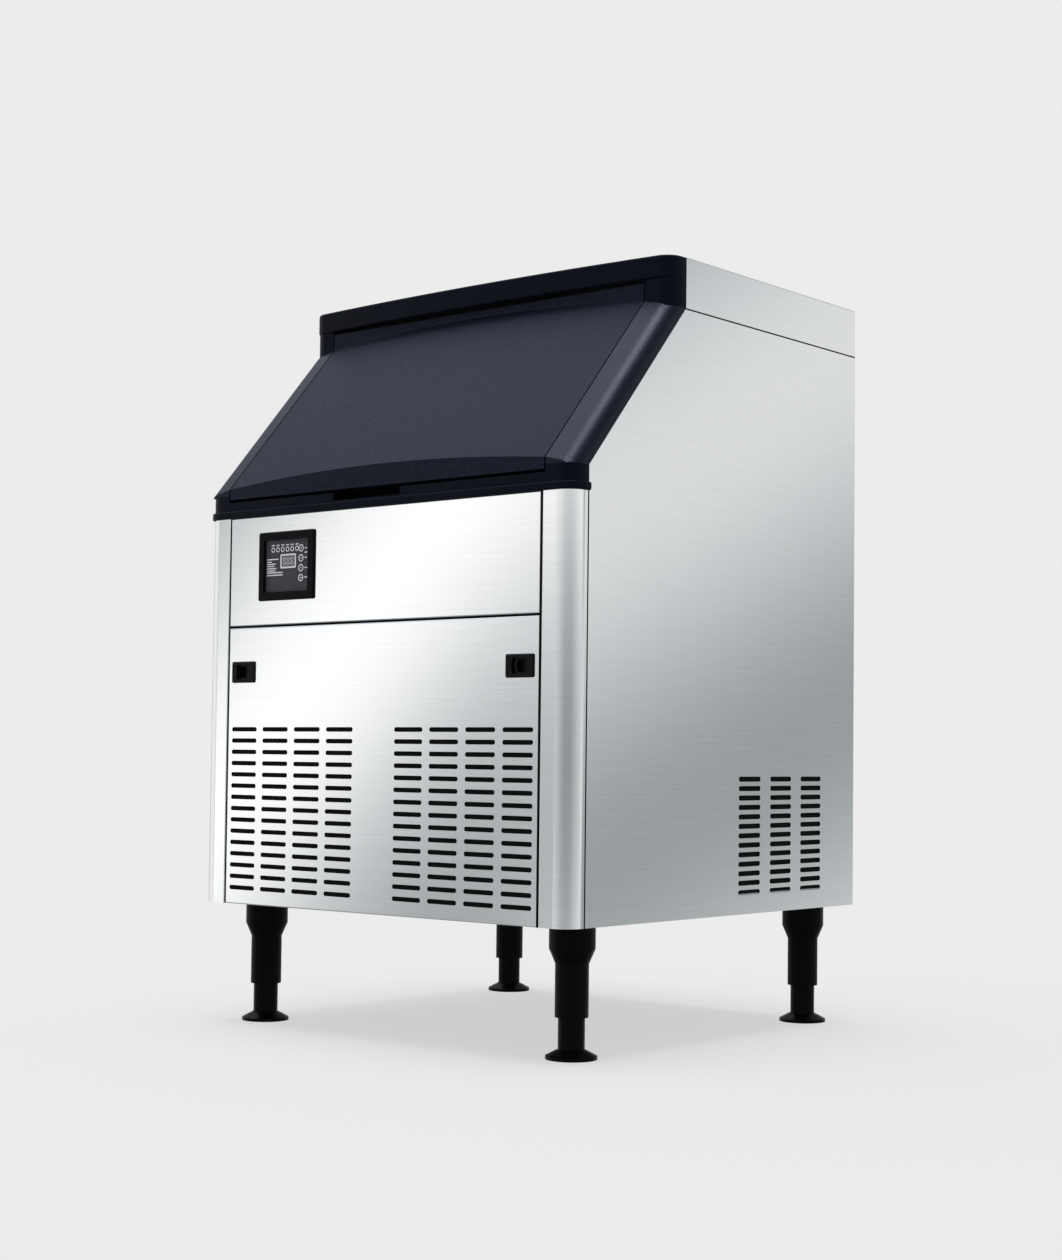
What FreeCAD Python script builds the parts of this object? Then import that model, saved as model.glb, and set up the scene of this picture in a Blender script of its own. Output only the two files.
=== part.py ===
"""Undercounter cube ice machine: stainless cabinet on four legs, sloping bin door, ice maker inside.

Frame: X to the right seen from the front, Y towards the rear, Z up, in millimetres.
The origin lies on the floor under the middle of the whole machine.
"""
import FreeCAD, Part
import math
import os

V = FreeCAD.Vector
AXIS_X = V(1, 0, 0)
AXIS_Y = V(0, 1, 0)
AXIS_Z = V(0, 0, 1)
PAST = 5.0                    # how far a cutting tool runs past the face that it opens
FIT = 0.3                     # clearance of a piece that drops into a recess
PIN_FIT = 0.05                # radial clearance of a pin or shaft in its hole
SAME = 1e-6                   # points closer than this are one point
LEVEL = 1e-4                  # an edge that strays less than this from a plane lies in it
STRAIGHT = 0.01               # least straight stretch between two arcs

# Cabinet
CABINET_WIDTH = 638.0
CABINET_DEPTH = 630.0         # front panel face to rear panel face
LEG_HEIGHT = 161.0            # floor to the underside of the cabinet
SHEET = 1.0                   # stainless sheet thickness
BEND_R = 1.5                  # outside radius of a folded edge
FLANGE = 15.0                 # inward flange that a panel is screwed to
JOGGLE = 18.0                 # tongue behind a seam, each side of it
SIDE_SEAM = 1.5               # open seams on the side and round the top cover
BASE_SHEET = 1.5
BASE_LIP = 25.0               # upstand round the base pan
BASE_INSET = 26.0             # base pan behind the front face

# Front columns and panels
COLUMN_FRONT = 45.75          # width of a column seen from the front
CORNER_R = 24.0
RETURN_DEPTH = 13.0           # folded edges of the front panels
LANDING = 8.0                 # ledge on the column that the front panels lie on
FRONT_SEAM = 2.5
UPPER_PANEL_HEIGHT = 145.5   # upper front panel, down from the sill

# Vent slots of the lower front panel, in two mirrored groups
FRONT_SLOT = 48.0
FRONT_SLOT_H = 5.9
FRONT_SLOT_COLS = 4
FRONT_SLOT_PITCH_X = 59.5
FRONT_SLOT_ROWS = 15
FRONT_SLOT_PITCH_Z = 15.05
FRONT_SLOT_EDGE = 7.75        # outer slots inside the panel's edge
FRONT_SLOT_LOW = 21.8         # panel's lower edge to the first row

# Vent slots of the side panels
SIDE_SLOT = 50.0
SIDE_SLOT_H = 6.6
SIDE_SLOT_COLS = 3
SIDE_SLOT_PITCH_Y = 73.3
SIDE_SLOT_ROWS = 13
SIDE_SLOT_PITCH_Z = 12.2
SIDE_SLOT_REAR = 85.0         # rear panel face to the last slot
SIDE_SLOT_LOW = 28.0

# Vent slots of the rear panel
REAR_SLOT = 90.0
REAR_SLOT_H = 6.0
REAR_SLOT_COLS = 2
REAR_SLOT_PITCH_X = 105.0
REAR_SLOT_ROWS = 12
REAR_SLOT_PITCH_Z = 18.0
REAR_SLOT_START = 60.0
REAR_SLOT_LOW = 50.0

# Door frame mouldings
FRAME_DEPTH = 50.0            # whole depth of the frame, partly behind the side panels
FRAME_SIDE = 31.0             # depth of the frame that shows on the cabinet's side
FRAME_WALL = 3.0
RAIL_WIDTH = 42.0
SILL_HEIGHT = 31.0
SILL_LEDGE = 22.0             # ledge under the door, above the bottom of the sill
LIP_HEIGHT = 10.0             # bead along the bottom of the sill
LIP_OUT = 3.5
LIP_ROUND = 2.5
SLOPE_RUN = 193.0
SLOPE_RISE = 219.0
SLOPE_PROUD = 9.0             # door and inner edge of the rails above the line from sill to header
HEADER_HEIGHT = 65.0          # top cover and header, above the side panels
HEADER_BAND = 29.0            # part of the header above the door's top edge
HEADER_BOW = 13.0             # header's front bulges in the middle
HEADER_ROUND = 3.0
POCKET_WIDTH = 118.0          # finger pocket in the sill
POCKET_CENTRE = -19.0
POCKET_DEPTH = 44.0
POCKET_HEIGHT = 10.0

# Bin door
DOOR_GAP = 2.0                # door to rail
DOOR_SILL_GAP = 4.0
DOOR_HEADER_GAP = 4.0
DOOR_CROWN = 9.0
DOOR_THICK = 28.5
DOOR_WALL = 3.0
DOOR_STRIP_THICK = 13.0       # vertical strip along the door's top edge
DOOR_STRIP_SOLID = 35.0       # solid top end of the shell
HINGE_BACK = 6.0              # hinge axis behind the strip's face
HINGE_DROP = 18.0             # hinge axis below the strip's top edge
HINGE_R = 3.0
HINGE_BOSS_R = 5.5
HINGE_REACH = 9.0             # length of a trunnion
INNER_PANEL = 2.5
INNER_PANEL_EDGE = 6.0
INNER_PANEL_LOW = 20.0        # along the slope from its lower corner
INNER_PANEL_TOP = 262.0
GASKET_WIDTH = 11.0
GASKET_LOW = 36.0
GASKET_EDGE = 11.0

# Bin
LINER = 3.0
BIN_SIDE_WALL = 57.0          # cabinet face to the liner's outer face
BIN_FRONT_WALL = 65.0
BIN_REAR_WALL = 50.0
BIN_FLOOR_FOAM = 40.0
BIN_FLOOR_HEIGHT = 345.0      # cabinet's underside to the foam under the bin
BIN_BELOW_SILL = 171.0        # foam under the bin up to the sill
BIN_TOP_GAP = 4.0             # liner's top edge below the top cover seam
RIM_GAP = 1.0                 # liner's rim to the rails
RIM_APRON = 2.0
FOAM_SIDE_GAP = 1.3
FOAM_FRONT_GAP = 22.0
FOAM_REAR_GAP = 2.5
TOP_FOAM_GAP = 4.0
CONTROL_BAY = 6.0             # space round the control box in the foam
CONTROL_BAY_DEPTH = 42.0

# Ice maker
CELL = 24.0
CELL_WALL = 1.2
PUMP_ROOM = 74.0              # bin wall to the bracket of the freezing plate
CELL_ROWS = 9
CELL_DEPTH = 20.0
EVAPORATOR_BACK = 2.0
EVAPORATOR_STANDOFF = 72.0    # bin's back wall to the back of the plate
EVAPORATOR_RAISE = 20.0       # above the trough's rim
COIL_R = 4.8
COIL_GAP = 0.1
COIL_RUNS = 4
COIL_PITCH = 56.0
COIL_INSET = 40.6             # coil's bends inside the plate's edge
COIL_LOW = 16.0
COIL_TAIL = 10.0
BRACKET = 4.0
BRACKET_FRONT = 30.0          # bracket in front of the plate
BRACKET_EAR = 21.0
BRACKET_TIE = 20.0
CURTAIN = 2.5
CURTAIN_SIDE_GAP = 1.5
CURTAIN_BARREL_R = 5.0
CURTAIN_PIN_R = 3.0
CURTAIN_FRONT = 20.0          # curtain axis in front of the plate
CURTAIN_RAISE = 6.0
CURTAIN_LOW = 8.0
CURTAIN_RIBS = 5
CURTAIN_RIB_PITCH = 70.0
CURTAIN_RIB = 3.0
EAR_TOP = 8.0
EAR_GAP = 8.8                 # bracket's ears below the bin's top edge
DISTRIBUTOR_R = 9.0
DISTRIBUTOR_BORE = 7.0
DISTRIBUTOR_IN = 8.0
DISTRIBUTOR_LIFT = 1.0
DISTRIBUTOR_OVER = 16.0
JET_R = 1.5

# Water system
TROUGH_HEIGHT = 64.0
TROUGH_WALL = 2.5
TROUGH_GAP = 9.0              # trough's left end to the bin wall
TROUGH_OVER = 14.4            # trough past the plate on the right
TROUGH_FRONT = 22.0           # trough in front of the plate
PUMP_INSET = 28.0
PUMP_BACK = 47.0
PUMP_CASE_R = 20.0
PUMP_CASE_H = 30.0
PUMP_NECK_R = 10.0
PUMP_NECK_H = 18.0
PUMP_MOTOR_R = 24.0
PUMP_MOTOR_H = 70.0
PUMP_OUTLET = 3.0
HOSE_BEND = 14.0
VALVE_X = -120.0
VALVE_HEIGHT = 140.0          # above the cabinet's underside
VALVE_WIDTH = 32.0
VALVE_BODY_H = 36.0
VALVE_DEPTH = 42.0
VALVE_PLATE = 2.0
VALVE_PLATE_W = 56.0
INLET_R = 13.2
INLET_BORE = 8.0
INLET_BORE_DEPTH = 20.0
FITTING_OUT = 25.0            # fittings behind the rear panel
FITTING_NECK = 0.5            # step down where a fitting passes the rear panel
FILL_R = 5.0
FILL_STUB = 12.0
FILL_Z = 26.0                 # fill tube above the trough's rim
FILL_BACK = 34.0
FILL_DROP = 18.0
DRAIN_R = 12.0
DRAIN_BORE = 10.0
DRAIN_FLANGE_R = 22.0
DRAIN_FLANGE = 2.0
DRAIN_X = -20.0
DRAIN_Y = 262.0               # in front of the rear panel
DRAIN_DROP = 35.0             # below the foam
DRAIN_BEND = 28.0
GLAND_IN = 89.0               # gland axis inside the cabinet's left side
GLAND_HEIGHT = 55.0
GLAND_R = 8.0
GLAND_BORE = 4.5
GLAND_NUT_R = 13.0
GLAND_NUT = 8.0
GLAND_FLANGE = 4.0

# Refrigeration
SERVICE_INSET = 26.0          # vertical pipes in front of the rear panel face
PIPE_BEND = 14.0
PIPE_RUN = 1.0                # straight run between two bends of the pipe
PIPE_CLEAR = 0.8
LIQUID_R = 4.0
SUCTION_R = 4.8
DISCHARGE_R = 4.8
CONDENSER_INSET = 37.0
CONDENSER_GAP = 68.0          # condenser to the right side panel
CONDENSER_WIDTH = 240.0
CONDENSER_HEIGHT = 243.5
CONDENSER_DEPTH = 44.0
CONDENSER_PLATE = 1.5
CONDENSER_WEB = 4.0
FIN = 1.4
FIN_PITCH = 5.0
FIN_FOOT = 14.0
TUBE_BENDS = 4
TUBE_BEND_PITCH = 48.0
TUBE_BEND_LOW = 40.0
TUBE_BEND_R = 11.0
SHROUD = 1.5
SHROUD_HOLE_R = 98.0
SHROUD_COLLAR = 29.0
SHROUD_STRUT = 20.0
SHROUD_STRUT_T = 2.0
SHROUD_STRUT_EDGE = 14.0
SHROUD_STANDOFF = 65.0
MOTOR_R = 38.0
MOTOR_LENGTH = 64.0
SHAFT_R = 4.0
SHAFT_HOLE_R = 6.0
FAN_R = 92.0
FAN_HUB_R = 20.0
FAN_HUB = 26.0
FAN_FRONT = 5.0               # condenser to the fan hub
FAN_BLADES = 5
FAN_CHORD = 48.0
FAN_BLADE = 2.0
FAN_PITCH_DEG = 28.0
COMPRESSOR_X = 120.0
COMPRESSOR_Y = 192.0          # in front of the rear panel
COMPRESSOR_R = 80.0
COMPRESSOR_HEIGHT = 184.0
COMPRESSOR_ROUND = 32.0
COMPRESSOR_PLATE = 3.0
COMPRESSOR_PLATE_X = 190.0
COMPRESSOR_PLATE_Y = 140.0
COMPRESSOR_FOOT_X = 76.0
COMPRESSOR_FOOT_Y = 52.0
COMPRESSOR_CAP_X = 44.0
COMPRESSOR_CAP_Y = 26.0
COMPRESSOR_CAP_Z = 60.0
STUB_X = 40.0
STUB_Y = 55.0
STUB_Z = 44.0                 # pipe stubs above the middle of the shell's rounding
GROMMET_R = 12.0
GROMMET_H = 20.0
STUD_R = 4.0
STUD_FIT = 0.3
STUD_OVER = 8.0
NUT_R = 7.0
NUT_H = 5.0
DISCHARGE_RISE = 62.0
SIDE_PIPE_GAP = 16.0          # pipe along the right wall, in front of the condenser plate
DRIER_X = -70.0
DRIER_Y = 262.0
DRIER_R = 15.0
DRIER_H = 90.0
DRIER_CONE = 12.0
DRIER_Z = 100.0
LIQUID_LOW = 28.0
LIQUID_CROSS = 222.0          # crossing run behind the front face
LIQUID_RISE = 280.0
SUCTION_SHIFT = 35.0
SUCTION_LOW = 250.0
HOT_GAS_RISE = 40.0
HOT_GAS_HIGH = 310.0
HOT_GAS_JOIN = 440.0
GAS_VALVE = 26.0
GAS_VALVE_COIL_R = 12.0
GAS_VALVE_COIL = 30.0
EBOX_SIDE_GAP = 64.0
EBOX_INSET = 42.0
EBOX_X = 150.0
EBOX_Y = 150.0
EBOX_Z = 235.0
EBOX_WALL = 1.5

# Control panel
BEZEL_LEFT = 109.0            # middle of the bezel inside the panel's left edge
BEZEL_Z = 77.5                # middle of the bezel above the upper front panel's lower edge
BEZEL_W = 105.0
BEZEL_H = 91.0
BEZEL_RIM = 11.0
BEZEL_OUT = 3.5
BEZEL_ROUND = 3.0
BEZEL_BEVEL = 2.0
BEZEL_LAP = 5.0               # rim over the edge of the panel's cut-out
BEZEL_SLEEVE = 2.5
BEZEL_BACK = 18.0
FACE = 2.5
FACE_BACK = 1.0               # face's front behind the front panel's face
BOARD = 1.6
BOARD_BACK = 8.0              # face's front to the board
DISPLAY_W = 29.0
DISPLAY_H = 18.5
DISPLAY_X = 0.85              # from the bezel's middle
DISPLAY_Z = 6.0
LAMPS = 6
LAMP_R = 1.5
LAMP_PITCH = 9.0
LAMP_X = -27.85
LAMP_Z = 21.8
BUTTONS = 4
BUTTON_R = 4.7
BUTTON_X = 26.0
BUTTON_Z = 21.8
BUTTON_PITCH = 13.0
BUTTON_OUT = 1.0
BUTTON_FLANGE_R = 6.0
BUTTON_FLANGE = 1.2

# Latches
LATCH_W = 44.5
LATCH_H = 28.5
LATCH_IN = 29.25              # middle of a latch inside the panel's edge
LATCH_DROP = 59.25            # middle of a latch below the lower panel's top
LATCH_OUT = 2.5
LATCH_ROUND = 2.5
LATCH_BEVEL = 1.5
LATCH_RIM = 2.0               # rim over the edge of the panel's cut-out
LATCH_DEPTH = 20.0
LATCH_BACK = 2.0
LATCH_POCKET_H = 19.5
LATCH_MARGIN = 10.5           # pocket to the latch's outer edge
LATCH_LIP = 4.0               # slide's lip on the inner side of its dish
LATCH_GAP = 2.5               # open ahead of the lip at rest
LATCH_TRAVEL = 8.0
LATCH_DISH_R = 15.0
LATCH_DISH_DEPTH = 7.0
LATCH_DISH_WALL = 2.0
BOLT_H = 10.0
BOLT_T = 3.0
BOLT_REACH = 6.0              # bolt behind the column's ledge

# Legs
LEG_IN = 52.0                 # leg axis inside the cabinet's side
LEG_FRONT = 73.0              # leg axis behind the front face
LEG_REAR = 46.0               # leg axis in front of the rear face
COLLAR_R = 28.3
COLLAR_H = 29.0
CONE_H = 18.0
SLEEVE_R = 20.5
SLEEVE_BOTTOM = 50.0          # above the floor
FOOT_R = 16.3
FOOT_TOP = 125.0
FOOT_DISC_R = 31.5
FOOT_DISC = 4.0
FOOT_CONE = 7.0
FOOT_NECK_R = 18.0
LEG_STUD_R = 5.0
LEG_STUD = 14.0
LEG_NUT_R = 9.0
LEG_NUT = 7.0

# Rear panel screws
SCREW_R = 2.0
SCREW_LENGTH = 2.3
SCREW_HEAD_R = 4.0
SCREW_HEAD = 2.2
SCREW_ROWS = 4
SCREW_PITCH = 220.0
SCREW_LOW = 35.0

# Places worked out from the sizes above
XO = CABINET_WIDTH / 2
XI = XO - SHEET
YF = -(CABINET_DEPTH + FITTING_OUT - LIP_OUT) / 2
YR = YF + CABINET_DEPTH
YRI = YR - SHEET
ZB = LEG_HEIGHT
BASE_TOP = ZB + BASE_SHEET
X_SEAM = XO - COLUMN_FRONT
X_PANEL = X_SEAM - FRONT_SEAM
Y_LANDING = YF + RETURN_DEPTH
FOAM_Z0 = ZB + BIN_FLOOR_HEIGHT
Z_SILL = FOAM_Z0 + BIN_BELOW_SILL
Z_UPPER = Z_SILL - UPPER_PANEL_HEIGHT
Z_LOWER = Z_UPPER - FRONT_SEAM
Z_LEDGE = Z_SILL + SILL_LEDGE
Z_SLOPE = Z_SILL + SILL_HEIGHT
Z_SEAM = Z_SLOPE + SLOPE_RISE
ZT = Z_SEAM + HEADER_HEIGHT
Z_PANEL_TOP = Z_SEAM - SIDE_SEAM
Y_SIDE_LOW = YF + FRAME_DEPTH
Y_HEAD = YF + SLOPE_RUN
Y_SIDE_TOP = Y_HEAD + FRAME_DEPTH
Y_EDGE_LOW = YF + FRAME_SIDE
Y_EDGE_TOP = Y_HEAD + FRAME_SIDE
X_RAIL = XO - RAIL_WIDTH
Z_BAND = ZT - HEADER_BAND
SLOPE = math.atan2(SLOPE_RISE, SLOPE_RUN)
SLOPE_LENGTH = math.hypot(SLOPE_RUN, SLOPE_RISE)
RAIL_DEPTH = FRAME_DEPTH * math.sin(SLOPE)
RAIL_PROUD = SLOPE_PROUD * SLOPE_RUN / SLOPE_RISE
DOOR_PROUD = SLOPE_PROUD * math.cos(SLOPE)
DOOR_HALF = X_RAIL - DOOR_GAP
DOOR_BOTTOM = Z_LEDGE + DOOR_SILL_GAP
DOOR_TOP = Z_BAND - DOOR_HEADER_GAP
HINGE_Y = Y_HEAD + HINGE_BACK
HINGE_Z = DOOR_TOP - HINGE_DROP
FOAM_X = XI - FOAM_SIDE_GAP
FOAM_Y0 = YF + FOAM_FRONT_GAP
FOAM_Y1 = YR - FOAM_REAR_GAP
LINER_X = XO - BIN_SIDE_WALL
LINER_Y0 = YF + BIN_FRONT_WALL
LINER_Y1 = YR - BIN_REAR_WALL
LINER_Z0 = FOAM_Z0 + BIN_FLOOR_FOAM
LINER_TOP = Z_SEAM - BIN_TOP_GAP
BIN_BACK = LINER_Y1 - LINER
BIN_FLOOR = LINER_Z0 + LINER
CURTAIN_Z = LINER_TOP - EAR_GAP - EAR_TOP
BRACKET_TOP = CURTAIN_Z - CURTAIN_RAISE
EVAP_TOP = BRACKET_TOP - DISTRIBUTOR_LIFT
EVAP_Z0 = EVAP_TOP - CELL_ROWS * CELL - CELL_WALL
TROUGH_TOP = EVAP_Z0 - EVAPORATOR_RAISE
TROUGH_Z0 = TROUGH_TOP - TROUGH_HEIGHT
TROUGH_LEFT = LINER_X - LINER - TROUGH_GAP
CELL_COLS = int((2 * (LINER_X - LINER - PUMP_ROOM - BRACKET) - CELL_WALL) // CELL)
EVAP_HALF = (CELL_COLS * CELL + CELL_WALL) / 2
EVAP_Y1 = BIN_BACK - EVAPORATOR_STANDOFF
EVAP_Y0 = EVAP_Y1 - CELL_DEPTH - EVAPORATOR_BACK
TROUGH_RIGHT = EVAP_HALF + TROUGH_OVER
COIL_HALF = EVAP_HALF - COIL_INSET
CURTAIN_Y = EVAP_Y0 - CURTAIN_FRONT
DISTRIBUTOR_Y = EVAP_Y0 + DISTRIBUTOR_IN
DISTRIBUTOR_Z = BRACKET_TOP + DISTRIBUTOR_R
DISTRIBUTOR_X = EVAP_HALF + DISTRIBUTOR_OVER
COIL_Y = EVAP_Y1 + COIL_GAP + COIL_R
COIL_Z = EVAP_Z0 + COIL_LOW
COIL_END = COIL_HALF + COIL_TAIL
COIL_TOP = COIL_Z + (COIL_RUNS - 1) * COIL_PITCH
PUMP_X = PUMP_INSET - TROUGH_LEFT
PUMP_Y = BIN_BACK - PUMP_BACK
PUMP_Z = TROUGH_Z0 + TROUGH_WALL
SERVICE_Y = YR - SERVICE_INSET
VALVE_Z = ZB + VALVE_HEIGHT
DRAIN_Z = FOAM_Z0 - DRAIN_DROP
GLAND_X = GLAND_IN - XO
CONDENSER_Y0 = YF + CONDENSER_INSET
CONDENSER_Y1 = CONDENSER_Y0 + CONDENSER_DEPTH
CONDENSER_END = XI - CONDENSER_GAP
CONDENSER_X = CONDENSER_END - CONDENSER_WIDTH
CONDENSER_TOP = BASE_TOP + CONDENSER_HEIGHT
PIPE_X = CONDENSER_END + SIDE_PIPE_GAP
PORT_Y = (CONDENSER_Y0 + CONDENSER_Y1) / 2
FAN_X = CONDENSER_X + CONDENSER_WIDTH / 2
FAN_Z = BASE_TOP + CONDENSER_HEIGHT / 2
SHROUD_Y = CONDENSER_Y1 + SHROUD
STRUT_Y = SHROUD_Y + SHROUD_STANDOFF
COMP_Y = YR - COMPRESSOR_Y
COMP_PLATE_Z = BASE_TOP + GROMMET_H
COMP_Z = COMP_PLATE_Z + COMPRESSOR_PLATE
STUB_TOP = COMP_Z + COMPRESSOR_HEIGHT - COMPRESSOR_ROUND + STUB_Z
BEZEL_X = BEZEL_LEFT - X_PANEL
BEZEL_ZC = Z_UPPER + BEZEL_Z
FACE_Y = YF + FACE_BACK
BOARD_Y = FACE_Y + BOARD_BACK
LATCH_X = X_PANEL - LATCH_IN
LATCH_ZC = Z_LOWER - LATCH_DROP
LEG_X = XO - LEG_IN


def box(x0, x1, y0, y1, z0, z1):
    """Block between two corners."""
    return Part.makeBox(x1 - x0, y1 - y0, z1 - z0, V(x0, y0, z0))


def rod(radius, start, axis, length):
    """Round bar from a start point along an axis."""
    return Part.makeCylinder(radius, length, start, axis)


def fused(shapes):
    """One solid from touching or crossing shapes."""
    return shapes[0].multiFuse(shapes[1:]).removeSplitter()


def mirrored(shape):
    """The same piece on the other side of the machine."""
    return shape.mirror(V(0, 0, 0), AXIS_X)


def rect(a0, a1, b0, b1, radius=0.0):
    """Corners of a rectangle, each with its rounding radius."""
    return [(a0, b0, radius), (a1, b0, radius), (a1, b1, radius), (a0, b1, radius)]


def corner_arc(before, corner, after, radius):
    """Start, middle and end of the arc that rounds a corner."""
    back = (before - corner).normalize()
    ahead = (after - corner).normalize()
    half = back.getAngle(ahead) / 2
    reach = radius / math.tan(half)
    middle = (back + ahead).normalize() * (radius / math.sin(half) - radius)
    return corner + back * reach, corner + middle, corner + ahead * reach


def outline(corners, place):
    """Closed wire through flat corners (a, b, radius), set in space by place."""
    points = [V(a, b, 0) for a, b, radius in corners]
    arcs = []
    for i, (a, b, radius) in enumerate(corners):
        if radius > 0:
            arcs.append(corner_arc(points[i - 1], points[i], points[(i + 1) % len(points)], radius))
        else:
            arcs.append((points[i], None, points[i]))
    edges = []
    for i, (start, middle, end) in enumerate(arcs):
        if middle is not None:
            edges.append(Part.Arc(place(start), place(middle), place(end)).toShape())
        following = arcs[(i + 1) % len(arcs)][0]
        if end.distanceToPoint(following) > SAME:
            edges.append(Part.makeLine(place(end), place(following)))
    return Part.Wire(edges)


def plan_prism(corners, z0, z1):
    """Outline drawn in plan (x, y), standing from z0 to z1."""
    wire = outline(corners, lambda p: V(p.x, p.y, z0))
    return Part.Face(wire).extrude(V(0, 0, z1 - z0))


def front_prism(corners, y0, y1):
    """Outline drawn from the front (x, z), running from y0 back to y1."""
    wire = outline(corners, lambda p: V(p.x, y0, p.y))
    return Part.Face(wire).extrude(V(0, y1 - y0, 0))


def side_prism(corners, x0, x1):
    """Outline drawn from the side (y, z), running from x0 to x1."""
    wire = outline(corners, lambda p: V(x0, p.x, p.y))
    return Part.Face(wire).extrude(V(x1 - x0, 0, 0))


def turned(profile, centre):
    """Solid turned about a vertical axis from (radius, height) corners."""
    wire = outline(profile, lambda p: V(p.x, 0, p.y))
    solid = Part.Face(wire).revolve(V(0, 0, 0), AXIS_Z, 360)
    solid.translate(centre)
    return solid


def pipe(points, radius, bend):
    """Round bar along straight runs joined by tangent arcs."""
    stops = [(points[0], None, points[0])]
    for before, corner, after in zip(points, points[1:], points[2:]):
        stops.append(corner_arc(before, corner, after, bend))
    stops.append((points[-1], None, points[-1]))
    edges = []
    for (start, middle, end), following in zip(stops, stops[1:] + [None]):
        if middle is not None:
            edges.append(Part.Arc(start, middle, end).toShape())
        if following is not None and end.distanceToPoint(following[0]) > SAME:
            edges.append(Part.makeLine(end, following[0]))
    ring = Part.Wire(Part.Circle(points[0], points[1] - points[0], radius).toShape())
    return Part.Wire(edges).makePipeShell([ring], True, False)


def rounded(shape, radius, test):
    """Shape with every edge that passes the test rounded."""
    return shape.makeFillet(radius, [edge for edge in shape.Edges if test(edge)])


def on_front(edge, y):
    """True for an edge that lies in the plane at y."""
    return abs(edge.BoundBox.YMin - y) < LEVEL and abs(edge.BoundBox.YMax - y) < LEVEL


def on_level(edge, z):
    """True for an edge that lies in the level at z."""
    return abs(edge.BoundBox.ZMin - z) < LEVEL and abs(edge.BoundBox.ZMax - z) < LEVEL


def is_rim(edge, rear):
    """True for a level edge that shows, away from the plane at the rear."""
    return edge.BoundBox.ZLength < LEVEL and not on_front(edge, rear)


def on_slope(shape):
    """Shape drawn as (x, up the slope, outward) laid on the door's slope."""
    turn = FreeCAD.Rotation(AXIS_X, math.degrees(SLOPE))
    shape.Placement = FreeCAD.Placement(V(0, YF, Z_SLOPE), turn)
    return shape


def slot_grid(start, length, height, cols, pitch, low, rows, pitch_z):
    """Corner lists of a grid of round-ended slots."""
    grid = []
    for row in range(rows):
        for col in range(cols):
            a = start + col * pitch
            b = low + row * pitch_z
            grid.append(rect(a, a + length, b - height / 2, b + height / 2, height / 2 - STRAIGHT))
    return grid


def front_tray(z0, z1):
    """Front panel folded back on all four edges."""
    skin = box(-X_PANEL, X_PANEL, YF, Y_LANDING, z0, z1)
    skin = rounded(skin, BEND_R, lambda edge: on_front(edge, YF))
    inner_x = X_PANEL - SHEET
    hollow = box(-inner_x, inner_x, YF + SHEET, Y_LANDING + PAST, z0 + SHEET, z1 - SHEET)
    return skin.cut(hollow)


def leg_places():
    """Leg axes by name."""
    places = {}
    for end, y in (("front", YF + LEG_FRONT), ("rear", YR - LEG_REAR)):
        for side, x in (("left", -LEG_X), ("right", LEG_X)):
            places[end + "_" + side] = V(x, y, 0)
    return places


def compressor_feet():
    """Axes of the compressor's rubber mounts."""
    return [V(COMPRESSOR_X + i * COMPRESSOR_FOOT_X, COMP_Y + j * COMPRESSOR_FOOT_Y, 0)
            for i in (-1, 1) for j in (-1, 1)]


def screw_places():
    """Rear panel screws, on the flanges of the side panels."""
    x = XI - FLANGE / 2
    return [V(side * x, YR, ZB + BASE_LIP + SCREW_LOW + row * SCREW_PITCH)
            for side in (-1, 1) for row in range(SCREW_ROWS)]


def base_pan():
    """Tray that carries the cabinet and the refrigeration set."""
    y0 = YF + BASE_INSET
    tray = box(-XI, XI, y0, YRI, ZB, BASE_TOP + BASE_LIP)
    inner = XI - BASE_SHEET
    tray = tray.cut(box(-inner, inner, y0 + BASE_SHEET, YRI - BASE_SHEET,
                        BASE_TOP, BASE_TOP + BASE_LIP + PAST))
    holes = [rod(LEG_STUD_R + FIT, p + V(0, 0, ZB - PAST), AXIS_Z, 2 * PAST + BASE_SHEET)
             for p in leg_places().values()]
    return tray.cut(Part.makeCompound(holes))


def side_panel():
    """Right side panel: sloping front edge, vents, rear flange and a tongue behind the top cover."""
    front_top = Y_EDGE_LOW + (Z_PANEL_TOP - Z_SLOPE) * SLOPE_RUN / SLOPE_RISE
    corners = [(Y_EDGE_LOW, ZB, 0), (YR, ZB, 0), (YR, Z_PANEL_TOP, 0),
               (front_top, Z_PANEL_TOP, 0), (Y_EDGE_LOW, Z_SLOPE, 0)]
    skin = side_prism(corners, XI, XO)
    flange = box(XI - FLANGE, XI, YRI - SHEET, YRI, BASE_TOP + BASE_LIP + FIT, Z_PANEL_TOP - 2 * JOGGLE)
    tongue = box(XI - SHEET, XI, Y_SIDE_TOP + JOGGLE, YRI - JOGGLE,
                 Z_PANEL_TOP - JOGGLE, Z_PANEL_TOP + JOGGLE)
    start = YR - SIDE_SLOT_REAR - SIDE_SLOT - (SIDE_SLOT_COLS - 1) * SIDE_SLOT_PITCH_Y
    grid = slot_grid(start, SIDE_SLOT, SIDE_SLOT_H, SIDE_SLOT_COLS, SIDE_SLOT_PITCH_Y,
                     ZB + SIDE_SLOT_LOW, SIDE_SLOT_ROWS, SIDE_SLOT_PITCH_Z)
    slots = [side_prism(slot, XI - PAST, XO + PAST) for slot in grid]
    holes = [rod(SCREW_R + PIN_FIT, V(p.x, YR - PAST, p.z), AXIS_Y, 2 * PAST) for p in screw_places()]
    return fused([skin, flange, tongue]).cut(Part.makeCompound(slots + holes))


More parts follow.
